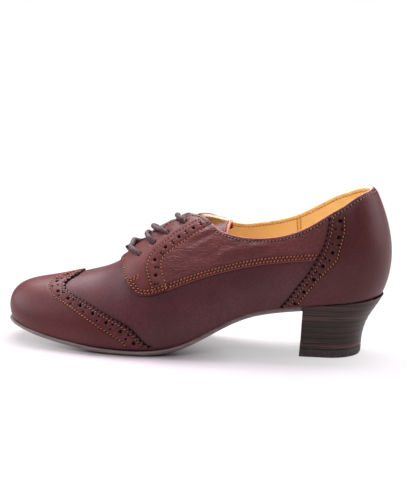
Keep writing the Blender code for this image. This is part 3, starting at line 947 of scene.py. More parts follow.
def grey(value):
    return (value,) * 3


def srgb(red, green, blue):
    """Linear colour of an 8-bit display colour."""
    def linear(value):
        value /= 255
        return value / 12.92 if value <= 0.04045 else ((value + 0.055) / 1.055) ** 2.4
    return linear(red), linear(green), linear(blue)


# Plain finishes: roughness, specular, scale and detail of the clouds, their upper stop, and the
# scale, detail, strength and depth of each layer of bump
TAN_LOOK = (0.55, 0.3, (38.0, 4.0), 0.7, ((1500.0, 3.0, 0.2, 0.12), (60.0, 2.0, 0.25, 0.8)))
THREAD_LOOK = (0.6, 0.3, (700.0, 2.0), 0.7, ((3800.0, 1.0, 0.4, 0.1),))
CORD_LOOK = (0.6, 0.25, (900.0, 3.0), 0.72, ((3000.0, 2.0, 0.35, 0.12),))
SHADE_LOOK = (0.85, 0.1, (300.0, 2.0), 0.7, ())
RUBBER_LOOK = (0.6, 0.3, (500.0, 3.0), 0.7, ((1800.0, 2.0, 0.4, 0.15),))


def leather(name, dark, light, edge, wrinkles=0.0, grain=1.0):
    """Aniline calf: cloudy dye, painted shade along the stitch grooves, pebbled grain and, on the
    quarters, drawn wrinkles.
    """
    finish = Finish(name, 0.42, 0.22, coat=0.05)
    dye = finish.ramp(finish.noise(26.0, 3.0), (0.3, srgb(*dark)), (0.72, srgb(*light)))
    mottle = finish.noise(650.0, 4.0)
    spots = finish.ramp(mottle, (0.4, grey(0.34)), (0.62, grey(0)))
    dye = finish.mixed(spots, dye, srgb(*(tone * SPOT_SHADE for tone in dark)))
    # Painted shade along the stitch grooves, darkest next to them
    groove_shade = finish.ramp(finish.mark("seam"), (0.1, grey(0)), (1.0, grey(0.6)))
    dye = finish.mixed(groove_shade, dye, srgb(*(tone * SEAM_SHADE for tone in dark)))
    finish.colour(finish.mixed(finish.mark("edge"), dye, srgb(*edge)))
    finish.rough(mottle, 0.36, 0.52)
    if wrinkles:
        folds = finish.noise(1.0, 3.0, finish.scaled((80, 200, 420), 28))
        finish.bump(folds, wrinkles, 0.6)
        drawn = finish.noise(1.0, 3.0, finish.scaled((420, 500, 1000), 30))
        finish.bump(drawn, wrinkles * 1.5, 0.4)
    cells = finish.add("ShaderNodeTexVoronoi", {"Vector": finish.place},
                       {"feature": "DISTANCE_TO_EDGE"}, Scale=900.0)
    finish.bump(cells.outputs["Distance"], 0.3 * grain, 0.22)
    finish.bump(mottle, 0.35 * grain, 0.3)
    return finish.material


def cloudy(name, look, dark, light):
    """Plain finish of two clouded tones, with its layers of bump."""
    roughness, specular, clouds, stop, bumps = look
    finish = Finish(name, roughness, specular)
    finish.colour(finish.ramp(finish.noise(*clouds), (0.3, srgb(*dark)), (stop, srgb(*light))))
    for scale, detail, strength, depth in bumps:
        finish.bump(finish.noise(scale, detail), strength, depth)
    return finish.material


def rim_finish():
    """Cut collar edge: cream lining, then pink raw leather, then the dyed outer face."""
    finish = Finish("collar_rim", 0.55, 0.3)
    layers = finish.ramp(finish.mark("edge"), (0.5, srgb(250, 230, 196)), (0.64, srgb(206, 128, 112)),
                         (0.88, srgb(190, 108, 96)), (0.95, srgb(82, 42, 42)))
    spots = finish.ramp(finish.noise(500.0, 3.0), (0.45, grey(0)), (0.8, grey(0.3)))
    finish.colour(finish.mixed(spots, layers, srgb(120, 74, 62)))
    finish.bump(finish.noise(1500.0, 3.0), 0.25, 0.15)
    return finish.material


def thread(name, colour):
    return cloudy(name, THREAD_LOOK, [tone * THREAD_SHADE for tone in colour], colour)


def painted_shade_finish(name, colour):
    """Dark finish that paints the shade seen through holes and notches."""
    return cloudy(name, SHADE_LOOK, colour, [tone + SHADE_SPREAD for tone in colour])


def sole_finish():
    """Grey-brown sole leather with a faint lengthwise grain."""
    finish = Finish("sole_edge_and_tread", 0.55, 0.35)
    streaks = finish.noise(1.0, 4.0, finish.scaled((50, 50, 700)))
    finish.colour(finish.ramp(streaks, (0.3, srgb(108, 92, 92)), (0.7, srgb(138, 122, 120))))
    finish.bump(streaks, 0.15, 0.2)
    finish.bump(finish.noise(900.0, 3.0), 0.3, 0.2)
    return finish.material


def heel_finish():
    """Stacked leather: thin layers of unlike browns with level streaks."""
    finish = Finish("stacked_leather", 0.45, 0.3, coat=0.03)
    layers = finish.noise(1.0, 1.0, finish.scaled((6, 6, 330)))
    streaks = finish.noise(1.0, 4.0, finish.scaled((45, 45, 1500)))
    base = finish.ramp(layers, (0.32, srgb(46, 27, 26)), (0.5, srgb(62, 39, 37)),
                       (0.68, srgb(82, 54, 51)))
    lines = finish.ramp(streaks, (0.42, grey(0)), (0.62, grey(0.9)))
    bands = finish.add("ShaderNodeTexWave", {"Vector": finish.place}, {"bands_direction": "Z"},
                       Scale=math.pi / 10 / (HEEL_LIFT * MM), Distortion=0.5, Detail=1.0,
                       Phase_Offset=-2 * math.pi * (TOP_PIECE + GAP) / HEEL_LIFT)
    joints = finish.ramp(bands.outputs["Fac"], (0.02, grey(0.85)), (0.16, grey(0)))
    finish.colour(finish.mixed(joints, finish.mixed(lines, base, srgb(34, 20, 19)), srgb(22, 13, 12)))
    finish.bump(streaks, 0.35, 0.3)
    finish.rough(layers, 0.38, 0.52)
    return finish.material


VAMP_LEATHER = leather("vamp_leather", (75, 37, 41), (94, 49, 54), (94, 49, 54), grain=0.6)
CAP_LEATHER = leather("cap_leather", (80, 31, 34), (100, 42, 45), (44, 22, 21), grain=0.7)
QUARTER_LEATHER = leather("quarter_leather", (90, 40, 41), (115, 56, 58), (150, 84, 78), wrinkles=0.9)
FACING_LEATHER = leather("facing_leather", (92, 41, 41), (115, 54, 55), (70, 34, 32))
COUNTER_LEATHER = leather("counter_leather", (74, 31, 33), (92, 41, 44), (44, 22, 21))
TONGUE_LEATHER = leather("tongue_calf", (88, 48, 53), (105, 62, 68), (206, 132, 116), grain=0.6)
LINING_LEATHER = cloudy("lining_leather", TAN_LOOK, (245, 213, 153), (252, 229, 176))
FLAP_LINING = cloudy("flap_lining", TAN_LOOK, (240, 214, 170), (248, 228, 190))
INSOLE_LEATHER = cloudy("sock_leather", TAN_LOOK, (220, 160, 92), (234, 180, 112))
COLLAR_RIM = rim_finish()
TAN_THREAD = thread("tan_thread", (196, 108, 74))
COLLAR_THREAD = thread("collar_thread", (156, 90, 75))
LINING_THREAD = thread("lining_thread", (226, 176, 116))
LACE = cloudy("lace_cord", CORD_LOOK, (62, 44, 47), (98, 74, 78))
# Painted shade: near black under holes and notches, darker tan in the lining's needle holes
SHADE_SHEET = painted_shade_finish("shade_sheet", (24, 12, 12))
LINING_HOLE_SHADE = painted_shade_finish("lining_needle_hole_shade", (200, 146, 84))
SOLE_LEATHER = sole_finish()
HEEL_STACK = heel_finish()
RUBBER = cloudy("moulded_rubber", RUBBER_LOOK, (48, 38, 40), (66, 54, 57))


# Stitch rows
def unit(vectors):
    return vectors / np.linalg.norm(vectors, axis=-1, keepdims=True)


def tube_faces(rings, sides):
    """Faces of a closed tube of rings of vertices."""
    faces = [(i * sides + j, i * sides + (j + 1) % sides,
              (i + 1) * sides + (j + 1) % sides, (i + 1) * sides + j)
             for i in range(rings - 1) for j in range(sides)]
    return faces + [tuple(range(sides - 1, -1, -1)), tuple(range((rings - 1) * sides, rings * sides))]


def stitch_shape():
    """Unit stitch: a spindle of rings along x."""
    turn = np.linspace(0, 2 * math.pi, STITCH_SIDES, endpoint=False)
    points = [(x, r * math.cos(a), r * math.sin(a)) for x, r in SPINDLE for a in turn]
    return np.array(points), tube_faces(len(SPINDLE), STITCH_SIDES)


def scatter(name, shape, centres, axes, sizes, material):
    """One mesh of many copies of a shape, each turned to its axes and scaled."""
    points, faces = shape
    count, each = len(centres), len(points)
    placed = centres[:, None] + sum(points[None, :, i, None] * sizes[i] * axis[:, None]
                                    for i, axis in enumerate(axes))
    copies = [tuple(i + k * each for i in face) for k in range(count) for face in faces]
    piece = add_mesh(name, placed.reshape(-1, 3) * MM, copies, material)
    piece.data.shade_smooth()
    return piece


def stitch_frames(ends, ups):
    """Middle and first points of the stitches between these ends, with their three axes."""
    up = unit(ups[1:] + ups[:-1])
    along = unit(ends[1:] - ends[:-1])
    along = unit(along + STITCH_SLANT * unit(np.cross(up, along)))
    return (ends[1:] + ends[:-1]) / 2, ends[:-1], along, np.cross(up, along), up


def place_stitches(name, frames, material, slot, size=1.0):
    """Stitches and the needle holes between them, as two pieces; the holes are dark spots of painted
    shade.
    """
    centres, starts, *axes = (np.concatenate(parts) for parts in zip(*frames))
    sizes = (size * STITCH_LENGTH / 2, size * STITCH_WIDTH / 2, size * STITCH_HEIGHT / 2)
    dress(scatter(name, stitch_shape(), centres, axes, sizes, material), slot)
    # Needle holes: small dark spindles that paint the shade inside each hole
    sizes = (NEEDLE_HOLE, NEEDLE_HOLE, NEEDLE_HOLE_HEIGHT)
    needle_hole_shade = LINING_HOLE_SHADE if slot == "insole_leather" else SHADE_SHEET
    dress(scatter(name + "_pricks", stitch_shape(), starts, axes, sizes, needle_hole_shade), slot)


def sew(name, chart, rows, height, material, slot="upper_leather", way=1, sink=STITCH_SINK, size=1.0):
    """Stitches along rows on a face of this height, on its outer side or, with way -1, its inner."""
    frames = []
    for row in rows:
        ends = spaced(chart, row, STITCH_PITCH)
        lap, side = chart(ends[:, 0])
        lift = height(lap, ends[:, 1], side) - way * sink
        points = lifted(lap, ends[:, 1], side, lift)
        frames.append(stitch_frames(points, way * outward(lap, ends[:, 1], side)))
    place_stitches(name, frames, material, slot, size)


# Heights of the panels' faces above the last
def level(value):
    """Face at one height all over."""
    return lambda lap, rise, side: np.full(np.shape(lap), value)


def collar_skive(lap, rise, side):
    """Share of a panel's thinning towards the collar's edge."""
    return fade((collar(lap, side) - rise) * RISE_MM, COLLAR_SKIVE_WIDTH)


def counter_front(side):
    """Front edge of the counter on one side, from the feather edge to the collar."""
    def at(share):
        lap = COUNTER_EDGE.at("lap", share)
        top = topline(lap, side)
        return side * (2 - lap), OVERLAY_FOOT + share * (top - OVERLAY_FOOT)
    return table_row(COUNTER_POINTS, at, 0, 1)


def counter_lap(rise, side):
    """Lap of the counter's front edge at this rise."""
    rows = (counter_front(LATERAL), counter_front(MEDIAL))
    return np.where(side < 0, *(np.interp(rise, row[:, 1], 2 - np.abs(row[:, 0])) for row in rows))


def quarter_height(lap, rise, side):
    """Outer face of a quarter: folded, thin at the collar and where the counter covers it."""
    ahead = (counter_lap(rise, side) - lap) * LAP_MM
    hidden = ease(ahead, *TUCK_EASE)
    top = QUARTER_TOP + fold_relief(lap, rise) - QUARTER_SKIVE * collar_skive(lap, rise, side)
    return np.minimum(top, TUCKED_TOP + (QUARTER_TOP - TUCKED_TOP + FOLD_ROOM) * hidden)


def over_quarter(lap, rise, side):
    """Whether the counter lies over a quarter here."""
    behind = (lap - counter_lap(rise, side)) * LAP_MM
    return (behind < TUCK + TUCK_CLEAR) & (rise > QUARTER_EDGE.at("rise", lap) - TUCK_BELOW)


def counter_height(lap, rise, side):
    return COUNTER_TOP - COUNTER_SKIVE * collar_skive(lap, rise, side)


def counter_under(value):
    """Face under the counter: at this height, or above a quarter's tucked edge."""
    tucked = TUCKED_TOP + SHADE_SHEET_WALL
    return lambda lap, rise, side: np.where(over_quarter(lap, rise, side), tucked, value)


def facing_row(which):
    """Front or rear stitch row along a facing's rear edge."""
    def at(along):
        return FACING_ROWS.at(which + "_lap", along), FACING_ROWS.at(which + "_rise", along)
    return table_row(FACING_POINTS, at, 0, 1)


def below_collar(row, side, clear=0.0):
    """Part of a row that lies below the collar's edge."""
    return row[row[:, 1] < collar(row[:, 0], side) - clear]


def facing_rear(side):
    """Rear edge of a facing, just behind its rear stitch row."""
    return below_collar(offset(along_side(side), facing_row("rear"), -FACING_MARGIN), side)


def flap_stand(lap, rise, side):
    """How far a flap's throat edge stands up, fading away from it."""
    at = np.clip(lap, FLAP_EDGE.knots[0], FLAP_EDGE.knots[-1])
    stand = FLAP_EDGE.beside(side, at)
    return stand * fade((collar(lap, side) - rise) * RISE_MM, FLAP_EDGE_WIDTH)


def quarter_lower(first, last):
    return table_row(ROW_POINTS, lambda lap: (lap, QUARTER_EDGE.at("rise", lap)), first, last)


def facing_height(lap, rise, side):
    """Outer face of a facing, down to the quarter's at its rear and foot, lifted at the throat."""
    scale = np.array((LAP_MM, RISE_MM))
    rear = facing_rear(LATERAL)
    edges = np.concatenate([rear, quarter_lower(FACING_SKIVE_LAP, rear[0, 0])])
    inside = nearest(np.stack([lap, rise], axis=1) * scale, edges * scale)
    thin = (FACING_TOP - quarter_height(lap, rise, side)) * fade(inside, FACING_SKIVE_WIDTH)
    return FACING_TOP + flap_stand(lap, rise, side) - thin


def facing_shade_sheet(depth):
    """Bottom of the holes in a facing, where the dark sheet of painted shade lies."""
    return lambda lap, rise, side: facing_height(lap, rise, side) - depth


def facing_base(lap, rise, side):
    return PANEL_BASE + np.maximum(flap_stand(lap, rise, side), 0)


# Panels of the upper
def around(u):
    """Lap and side all the way round, from the toe along the lateral side and back along the medial."""
    return -1 + 3 * (1 - np.abs(2 * u - 1)), np.where(u < 0.5, LATERAL, MEDIAL)


def make_vamp():
    """Wall of the upper from the feather edge to the ridge, throat edge and collar."""
    def place(u, v):
        lap, side = around(u)
        return skin(lap, v * topline(lap, side), side)

    make_sheet("upper_wall", VAMP_GRID, place, VAMP_LEATHER, VAMP_WALL, "upper_leather", "upper")


def collar_row(chart, first, last, count=ROW_POINTS):
    """Row along the collar between two chart places."""
    def at(u):
        lap, side = chart(u)
        return u, collar(lap, side)
    return table_row(count, at, first, last)


def make_lining():
    """Tan lining inside the wall, with its stitch row along the collar and its side seams."""
    inner, outer = LINING_FACES

    def place(u, v):
        lap, side = around(u)
        return lifted(lap, LINING_FOOT + v * (topline(lap, side) - LINING_BELOW), side, outer)

    make_sheet("lining", LINING_GRID, place, LINING_LEATHER, outer - inner, "insole_leather")
    span = 2 - COLLAR_LAP - LINING_ROW_END
    edge = collar_row(around_heel, -span, span, LINING_POINTS)
    rows = [offset(around_heel, edge, -LINING_STITCH_INSET)]
    for _, side in SIDES:
        top = collar(LINING_SEAM_LAP, side) - LINING_BELOW
        for beside in (-LINING_SEAM_HALF, LINING_SEAM_HALF):
            seam = side * (2 - LINING_SEAM_LAP + beside / LAP_MM)
            rises = np.linspace(LINING_SEAM_FOOT, top, SEAM_POINTS)
            rows.append(np.array([(seam, rise) for rise in rises]))
    sew("lining_stitches", around_heel, rows, level(inner), LINING_THREAD, "insole_leather", -1, 0.0)


def make_rim():
    """Cut edge of the collar between the lining and the outer leather."""
    span = 2 - COLLAR_LAP

    def place(u, v):
        row = nth(v, len(RIM_PROFILE))
        lift, above = np.take(RIM_PROFILE, row, axis=0).T
        lap, side = around_heel((2 * u - 1) * span)
        return lifted(lap, collar(lap, side) + above / RISE_MM, side, lift)

    make_sheet("collar_edge", (RIM_COLUMNS, len(RIM_PROFILE) - 1), place, COLLAR_RIM, RIM_WALL,
               "insole_leather", sharp=ROUND_SHARP, marks=lambda u, v: v)


def make_shade_sheet(name, chart, edge, inside, height, width=BORDER_SHADE_SHEET):
    """Dark strip under a pinked and punched border, which paints the shade in its notches and holes."""
    insets = [SHADE_SHEET_INSET] + [width * share for share in SHADE_SHEET_SHARES]
    rows = np.stack([offset(chart, edge, inside * inset) for inset in insets])
    lap, side = chart(rows[..., 0])
    rows[..., 1] = np.clip(rows[..., 1], OVERLAY_FOOT, collar(lap, side) - SHADE_SHEET_BELOW)

    def place(u, v):
        uv = rows[nth(v, len(insets)), nth(u, len(edge))]
        at_lap, at_side = chart(uv[:, 0])
        return on_chart(chart, uv, height(at_lap, uv[:, 1], at_side))

    make_sheet(name, (len(edge) - 1, len(insets) - 1), place, SHADE_SHEET, SHADE_SHEET_WALL, "upper_leather")


def band_rows(chart, edge, inside, widths, at):
    """Middle and inner row of a punched border, at widths that change along its edge."""
    reach = 10.0
    inwards = (offset(chart, edge, inside * reach) - edge) / reach
    return [edge + inwards * widths.at(name, at)[:, None] for name in ("middle", "inner")]


def foot_row(places):
    """Row along the foot of an overlay."""
    return np.stack([places, np.full(len(places), OVERLAY_FOOT)], axis=1)


def cap_row():
    edge = CAP_EDGE.knots[-1] + 1
    return table_row(CAP_POINTS, lambda u: (u, CAP_EDGE.at("rise", np.abs(u) - 1)), -edge, edge)


def make_cap():
    """Winged toe cap with a pinked edge, two stitch rows and a punched band."""
    chart = around_toe
    edge = spaced(chart, cap_row(), EDGE_PITCH)
    band = band_rows(chart, edge, -1, CAP_BAND, np.abs(edge[:, 0]))
    rows = [offset(chart, edge, -CAP_STITCH_INSET)] + band
    rows = [row[row[:, 1] > OVERLAY_FOOT + CAP_CLEAR] for row in rows]
    foot = spaced(chart, foot_row(edge[::-1, 0]), FOOT_PITCH)
    outline = np.concatenate([pinked(chart, edge, -1), foot])
    holes = punched_band(chart, rows[1], *CAP_HOLES)
    stitched = rows[::2]
    cut_panel("toe_cap", chart, outline, holes, level(CAP_TOP), level(PANEL_BASE),
              CAP_LEATHER, grooves=stitched)
    make_shade_sheet("toe_cap_shade_sheet", chart, edge, -1, level(SHADE_SHEET_TOP))
    sew("toe_cap_stitches", chart, stitched[1:], level(CAP_TOP), TAN_THREAD)
    sew("toe_cap_edge_stitches", chart, stitched[:1], level(CAP_TOP), COLLAR_THREAD)


def make_counter():
    """Heel counter with pinked front edges, two stitch rows and a punched band on each side."""
    chart = around_heel
    fronts = {side: spaced(chart, counter_front(side), EDGE_PITCH) for side in (LATERAL, MEDIAL)}
    top = collar_row(chart, fronts[LATERAL][-1, 0], fronts[MEDIAL][-1, 0])
    feet = np.linspace(fronts[MEDIAL][0, 0], fronts[LATERAL][0, 0], COUNTER_POINTS)
    outline = np.concatenate([
        pinked(chart, fronts[LATERAL], -1),
        spaced(chart, top, TOP_PITCH)[1:-1],
        pinked(chart, fronts[MEDIAL], 1)[::-1],
        spaced(chart, foot_row(feet), FOOT_PITCH)[1:-1],
    ])
    rows, holes = [], []
    for _, side in SIDES:
        front = fronts[side]
        share = np.linspace(0, 1, len(front))
        middle, second = band_rows(chart, front, side, COUNTER_BAND, share)
        for row in (offset(chart, front, side * COUNTER_STITCH_INSET), second):
            lap, sides = chart(row[:, 0])
            below = row[:, 1] < collar(lap, sides) - COLLAR_CLEAR / RISE_MM
            rows.append(row[below & (row[:, 1] > OVERLAY_FOOT + COUNTER_CLEAR)])
        middle = middle[middle[:, 1] > OVERLAY_FOOT + HOLES_CLEAR]
        holes += punched_band(chart, middle, *COUNTER_HOLES)
    seam = offset(chart, top, -COLLAR_STITCH_INSET)
    cut_panel("counter", chart, outline, holes, counter_height, counter_under(PANEL_BASE),
              COUNTER_LEATHER, grooves=rows + [seam])
    for name, side in SIDES:
        make_shade_sheet(f"counter_shade_sheet_{name}", chart, fronts[side], side, counter_under(SHADE_SHEET_TOP))
    sew("counter_stitches", chart, rows[1::2], counter_height, TAN_THREAD)
    sew("counter_edge_stitches", chart, rows[::2] + [seam], counter_height, COLLAR_THREAD)


def smooth_ring(ring):
    """Closed ring with its corners rounded a little."""
    for _ in range(ROUNDING_PASSES):
        ring = 0.5 * ring + 0.25 * (np.roll(ring, 1, axis=0) + np.roll(ring, -1, axis=0))
    return ring


def make_quarter(name, side):
    """Quarter behind the facing, with two stitch rows on its lower edge and one on the collar."""
    chart = along_side(side)
    rear = facing_rear(side)
    front = below_collar(offset(chart, rear, FACING_TUCK), side)
    under = counter_front(side)
    under[:, 0] = 2 - np.abs(under[:, 0])
    under = offset(chart, under, -TUCK)
    lower = quarter_lower(front[0, 0], QUARTER_END_LAP)
    under = under[under[:, 1] > lower[-1, 1]]
    under[:, 1] = np.minimum(under[:, 1], collar(under[:, 0], side))
    top = collar_row(chart, under[-1, 0], front[-1, 0])
    parts = (lower, under, top, front[::-1])
    outline = np.concatenate([spaced(chart, part, CUT_PITCH)[:-1] for part in parts])
    rows = [offset(chart, lower, inset) for inset in QUARTER_INSETS]
    seam = offset(chart, top, COLLAR_STITCH_INSET)
    cut_panel(name, chart, outline, (), quarter_height, level(QUARTER_BASE),
              QUARTER_LEATHER, spacing=FOLDED_PITCH, grooves=rows + [seam])
    seen = [row[(row[:, 0] > rear[0, 0]) & (row[:, 0] < counter_lap(row[:, 1], side))] for row in rows]
    sew(f"{name}_stitches", chart, seen, quarter_height, TAN_THREAD)
    seam = seam[(seam[:, 0] > rear[-1, 0]) & (seam[:, 0] < COUNTER_EDGE.columns["lap"][-1])]
    sew(f"{name}_collar_stitches", chart, [seam], quarter_height, COLLAR_THREAD)


def make_facing(name, side):
    """Lacing flap with eyelets, stitched edges, a bar tack and a punched band."""
    chart = along_side(side)
    rear = facing_rear(side)
    lower = quarter_lower(QUARTER_EDGE.knots[0], rear[0, 0])
    top = collar_row(chart, rear[-1, 0], QUARTER_EDGE.knots[0])
    ring = np.concatenate([spaced(chart, part, FLAP_PITCH)[:-1] for part in (lower, rear, top)])
    first, second = (offset(chart, quarter_lower(start, rear[0, 0]), inset)
                     for start, inset in zip(FLAP_ROW_STARTS, QUARTER_INSETS))
    throat = collar_row(chart, rear[-1, 0] - FLAP_ROW_CLEAR, THROAT_ROW_END)
    throat = offset(chart, throat, COLLAR_STITCH_INSET)
    rows = [below_collar(facing_row(which), side, FLAP_ROW_CLEAR) for which in ("front", "rear")]
    band = (facing_row("front") + facing_row("rear")) / 2
    tacks = [spaced(chart, np.array(TACK_ENDS) - (0.0, drop), TACK_PITCH) for drop in TACK_DROPS]
    eyelets = np.array(LACE_BARS)[:, :2]
    holes = punched_band(chart, band, *FACING_HOLES, beyond=True)
    holes += [hole(chart, eyelet, EYELET, EYELET_SIDES) for eyelet in eyelets]
    cut_panel(name, chart, smooth_ring(ring), holes, facing_height, facing_base,
              FACING_LEATHER, spacing=FOLDED_PITCH, grooves=[first, second, throat] + rows)
    sew(f"{name}_stitches", chart, [first, second] + rows, facing_height, TAN_THREAD)
    sew(f"{name}_bar_tack", chart, tacks, facing_height, TAN_THREAD, sink=TACK_SINK, size=TACK_SIZE)
    sew(f"{name}_throat_stitches", chart, [throat], facing_height, COLLAR_THREAD)
    holes_end, eyelets_end = facing_shade_sheet(FACING_HOLE_DEPTH), facing_shade_sheet(EYELET_DEPTH)
    make_shade_sheet(f"{name}_backing", chart, facing_row("rear"), 1, holes_end, FACING_SHADE_SHEET)
    line = offset(chart, np.concatenate([eyelets[:1] - EYELET_LEAD, eyelets]), -EYELET_MARGIN)
    line = spaced(chart, line, EYELET_PITCH)
    make_shade_sheet(f"{name}_eyelet_shade_sheet", chart, line, 1, eyelets_end, EYELET_SHADE_SHEET)


def make_flap_lining():
    """Pale lining under the front corner of the medial flap, which curls up."""
    def place(u, v):
        rise = FLAP_LINING_RISE + FLAP_LINING_TALL * v
        edge = np.interp(-rise, -QUARTER_EDGE.columns["rise"], QUARTER_EDGE.knots)
        lap = edge + FLAP_LINING_INSET + FLAP_LINING_LONG * u
        return lifted(lap, rise, MEDIAL, facing_base(lap, rise, MEDIAL) - FLAP_LINING_GAP)

    make_sheet("flap_lining_medial", FLAP_LINING_GRID, place, FLAP_LINING, FLAP_LINING_WALL,
               "insole_leather")


def make_tongue():
    """Tongue under the throat, with a stitched raw end."""
    first, last = TONGUE_LAPS
    length = (last - first) * LAP_MM

    def spot(u, v):
        rise = TONGUE_RISE + (1 - np.abs(2 * v - 1)) * (1 - TONGUE_RISE)
        return first + u * (last - first), rise, np.where(v < 0.5, LATERAL, MEDIAL)

    def place(u, v):
        lap, rise, side = spot(u, v)
        points = lifted(lap, rise, side, TONGUE_LIFT)
        points[:, 2] -= TONGUE_SINK * ease(lap, *TONGUE_SINK_LAPS)
        return points

    def raw(u, v):
        return (u > 1 - TONGUE_RAW / length).astype(float)

    make_sheet("tongue_leaf", TONGUE_GRID, place, TONGUE_LEATHER, TONGUE, "tongue_leather", "tongue",
               marks=raw)
    across = np.linspace(*TONGUE_STITCHES)
    end = np.full(len(across), 1 - TONGUE_STITCH_INSET / length)
    lap, rise, side = spot(end, across)
    frames = [stitch_frames(place(end, across), outward(lap, rise, side))]
    place_stitches("tongue_stitches", frames, TAN_THREAD, "tongue_leather")


# Lace
def lace_strand(number, side):
    """Strand from under the other flap at the eyelet before, over this flap's edge into its eyelet."""
    _, _, ridge_lap, ridge_lift = LACE_BARS[number]
    back_lap, back_rise, _, _ = LACE_BARS[number - 1]
    ridge_lift = ridge_lift if side < 0 else LACE_BELOW
    share = np.linspace(1, 0, LACE_HIDDEN_POINTS)[:-1]
    laps = ridge_lap + share * (back_lap - ridge_lap) + LACE_SKEW * share * (side < 0)
    rises = 1 - share * (1 - back_rise)
    edge_share = (1 - THROAT_RISE) / (1 - back_rise)
    lifts = np.interp(share, (0, edge_share, 1), (ridge_lift, LACE_TUCKED, LACE_UNDER))
    hidden = lifted(laps, rises, -side, lifts)
    return np.concatenate([hidden, lace_half(number, side, ridge_lift)])


def lace_half(number, side, ridge_lift):
    """Part of a strand from the ridge over one flap's edge and down through its eyelet."""
    lap, rise, ridge_lap, _ = LACE_BARS[number]
    share = np.concatenate([np.linspace(0, LACE_EVEN, LACE_EVEN_POINTS), LACE_LAST])
    bow = 1 - share ** LACE_BOWS[side]
    laps = lap + bow * (ridge_lap - lap) + LACE_SKEW * share * (side > 0)
    rises = 1 - share * (1 - rise)
    on_flap = np.minimum(rises, collar(laps, side) - LACE_CLEAR)
    over = facing_height(laps, on_flap, side) + LACE_RADIUS
    in_throat = np.clip((rises - on_flap) / (1 - THROAT_RISE), 0, 1)
    lifts = over + (ridge_lift - over) * in_throat
    lifts = LACE_UNDER + (lifts - LACE_UNDER) * np.clip((1 - share) / LACE_DIVE, 0, 1)
    return lifted(laps, rises, side, lifts)


def lace_route():
    """The whole lace, from the top medial eyelet by the first bar to the top lateral eyelet."""
    last = len(LACE_BARS) - 1
    *_, ridge_lift = LACE_BARS[0]
    left, right = (lace_half(0, side, ridge_lift) for _, side in SIDES)
    bar = np.concatenate([left[::-1], right[1:]])
    down, up = [], []
    for number in range(last, 0, -1):
        odd = (last - number) % 2
        down.append(lace_strand(number, LATERAL if odd else MEDIAL)[::-1])
        up.insert(0, lace_strand(number, MEDIAL if odd else LATERAL))
    route = np.concatenate(down + [bar] + up)
    apart = np.linalg.norm(np.diff(route, axis=0), axis=1) > LACE_APART
    return route[np.concatenate([[True], apart])]


def smooth_path(points, pitch):
    """Evenly spaced points on a smooth curve through these points."""
    run = run_along(points)
    names = ("run", "x", "y", "z")
    curve = Table(names, np.column_stack([run, points]))
    at = np.linspace(0, run[-1], int(run[-1] / pitch) + 1)
    return np.stack([curve.at(name, at) for name in names[1:]], axis=1)


def braided_tube(name, path, radius, material):
    """Round cord with the raised diamonds of a braid."""
    along = unit(np.gradient(path, axis=0))
    normals = [unit(np.cross(along[0], (0.0, 0.0, 1.0)))]
    for direction in along[1:]:
        normals.append(unit(normals[-1] - direction * (normals[-1] @ direction)))
    normal = np.array(normals)[:, None]
    second = np.cross(along, normal[:, 0])[:, None]
    turn = np.linspace(0, 2 * math.pi, BRAID_SIDES, endpoint=False)
    twist = 2 * math.pi * run_along(path)[:, None] / BRAID_LAY
    weave = np.maximum(np.sin(BRAID_STRANDS * turn + twist), np.sin(BRAID_STRANDS * turn - twist))
    reach = radius * (1 - BRAID_RELIEF + BRAID_RELIEF * weave)
    spokes = np.cos(turn)[None, :, None] * normal + np.sin(turn)[None, :, None] * second
    points = (path[:, None] + reach[..., None] * spokes).reshape(-1, 3)
    piece = add_mesh(name, points * MM, tube_faces(len(path), BRAID_SIDES), material)
    return shade(reworked(piece, weld), ROUND_SHARP)


def make_lace():
    """One lace through all the eyelets, its ends hidden inside the top two."""
    piece = braided_tube("lace", smooth_path(lace_route(), LACE_PITCH), LACE_RADIUS, LACE)
    dress(piece, "lace_cotton", *(f"lace_bar_{number + 1}" for number in range(len(LACE_BARS))))


# Insole, sole and heel
def make_insole():
    """Sock on the insole inside the upper's lower edge."""
    reaches = np.array(INSOLE_REACHES)
    levels = np.array(INSOLE_LEVELS)

    def place(u, v):
        row = nth(v, len(reaches))
        lap, side = around(u)
        edge_x, _ = footprint(lap, 1.0, side)
        inset = 1 - INSOLE_INSET / LAST.at("lateral", edge_x)
        x, y = footprint(lap, reaches[row] * inset, side)
        return np.stack([x, y, LAST.at("feather", x) + levels[row]], axis=-1)

    piece = bent_grid("insole_sock", INSOLE_COLUMNS, len(reaches) - 1, place, INSOLE_LEATHER)
    dress(piece, "insole_leather", "insole")


def make_outsole():
    """Outsole with a trimmed, slightly rounded edge, from the toe to the heel breast."""
    reaches = np.array(SOLE_TOP + (1.0,) * len(SOLE_RIM) + SOLE_TREAD)
    outs, drops = (np.array((0.0,) * len(SOLE_TOP) + rim + (end,) * len(SOLE_TREAD))
                   for rim, end in zip(zip(*SOLE_RIM), (0.0, 1.0)))
    breast_lap = (BREAST_X - BREAST_GAP - TOE_FAN_X) / (HEEL_FAN_X - TOE_FAN_X)

    def place(u, v):
        row = nth(v, len(reaches))
        side = np.where(u < 0.5, MEDIAL, LATERAL)
        lap = -1 + np.abs(2 * u - 1) * (breast_lap + 1)
        edge_x, _ = footprint(lap, 1.0, side)
        grown = SOLE.at("spread", lap) + outs[row] / LAST.at("lateral", edge_x)
        x, y = footprint(lap, reaches[row] * grown, side)
        top = LAST.at("feather", x) - GAP
        low = np.maximum(top - SOLE_THICKNESS, 0)
        return np.stack([x, y, top + drops[row] * (low - top)], axis=-1)

    piece = bent_grid("outsole_body", SOLE_COLUMNS, len(reaches) - 1, place, SOLE_LEATHER)
    dress(reworked(piece, fill_ends), "sole_leather", "outsole")


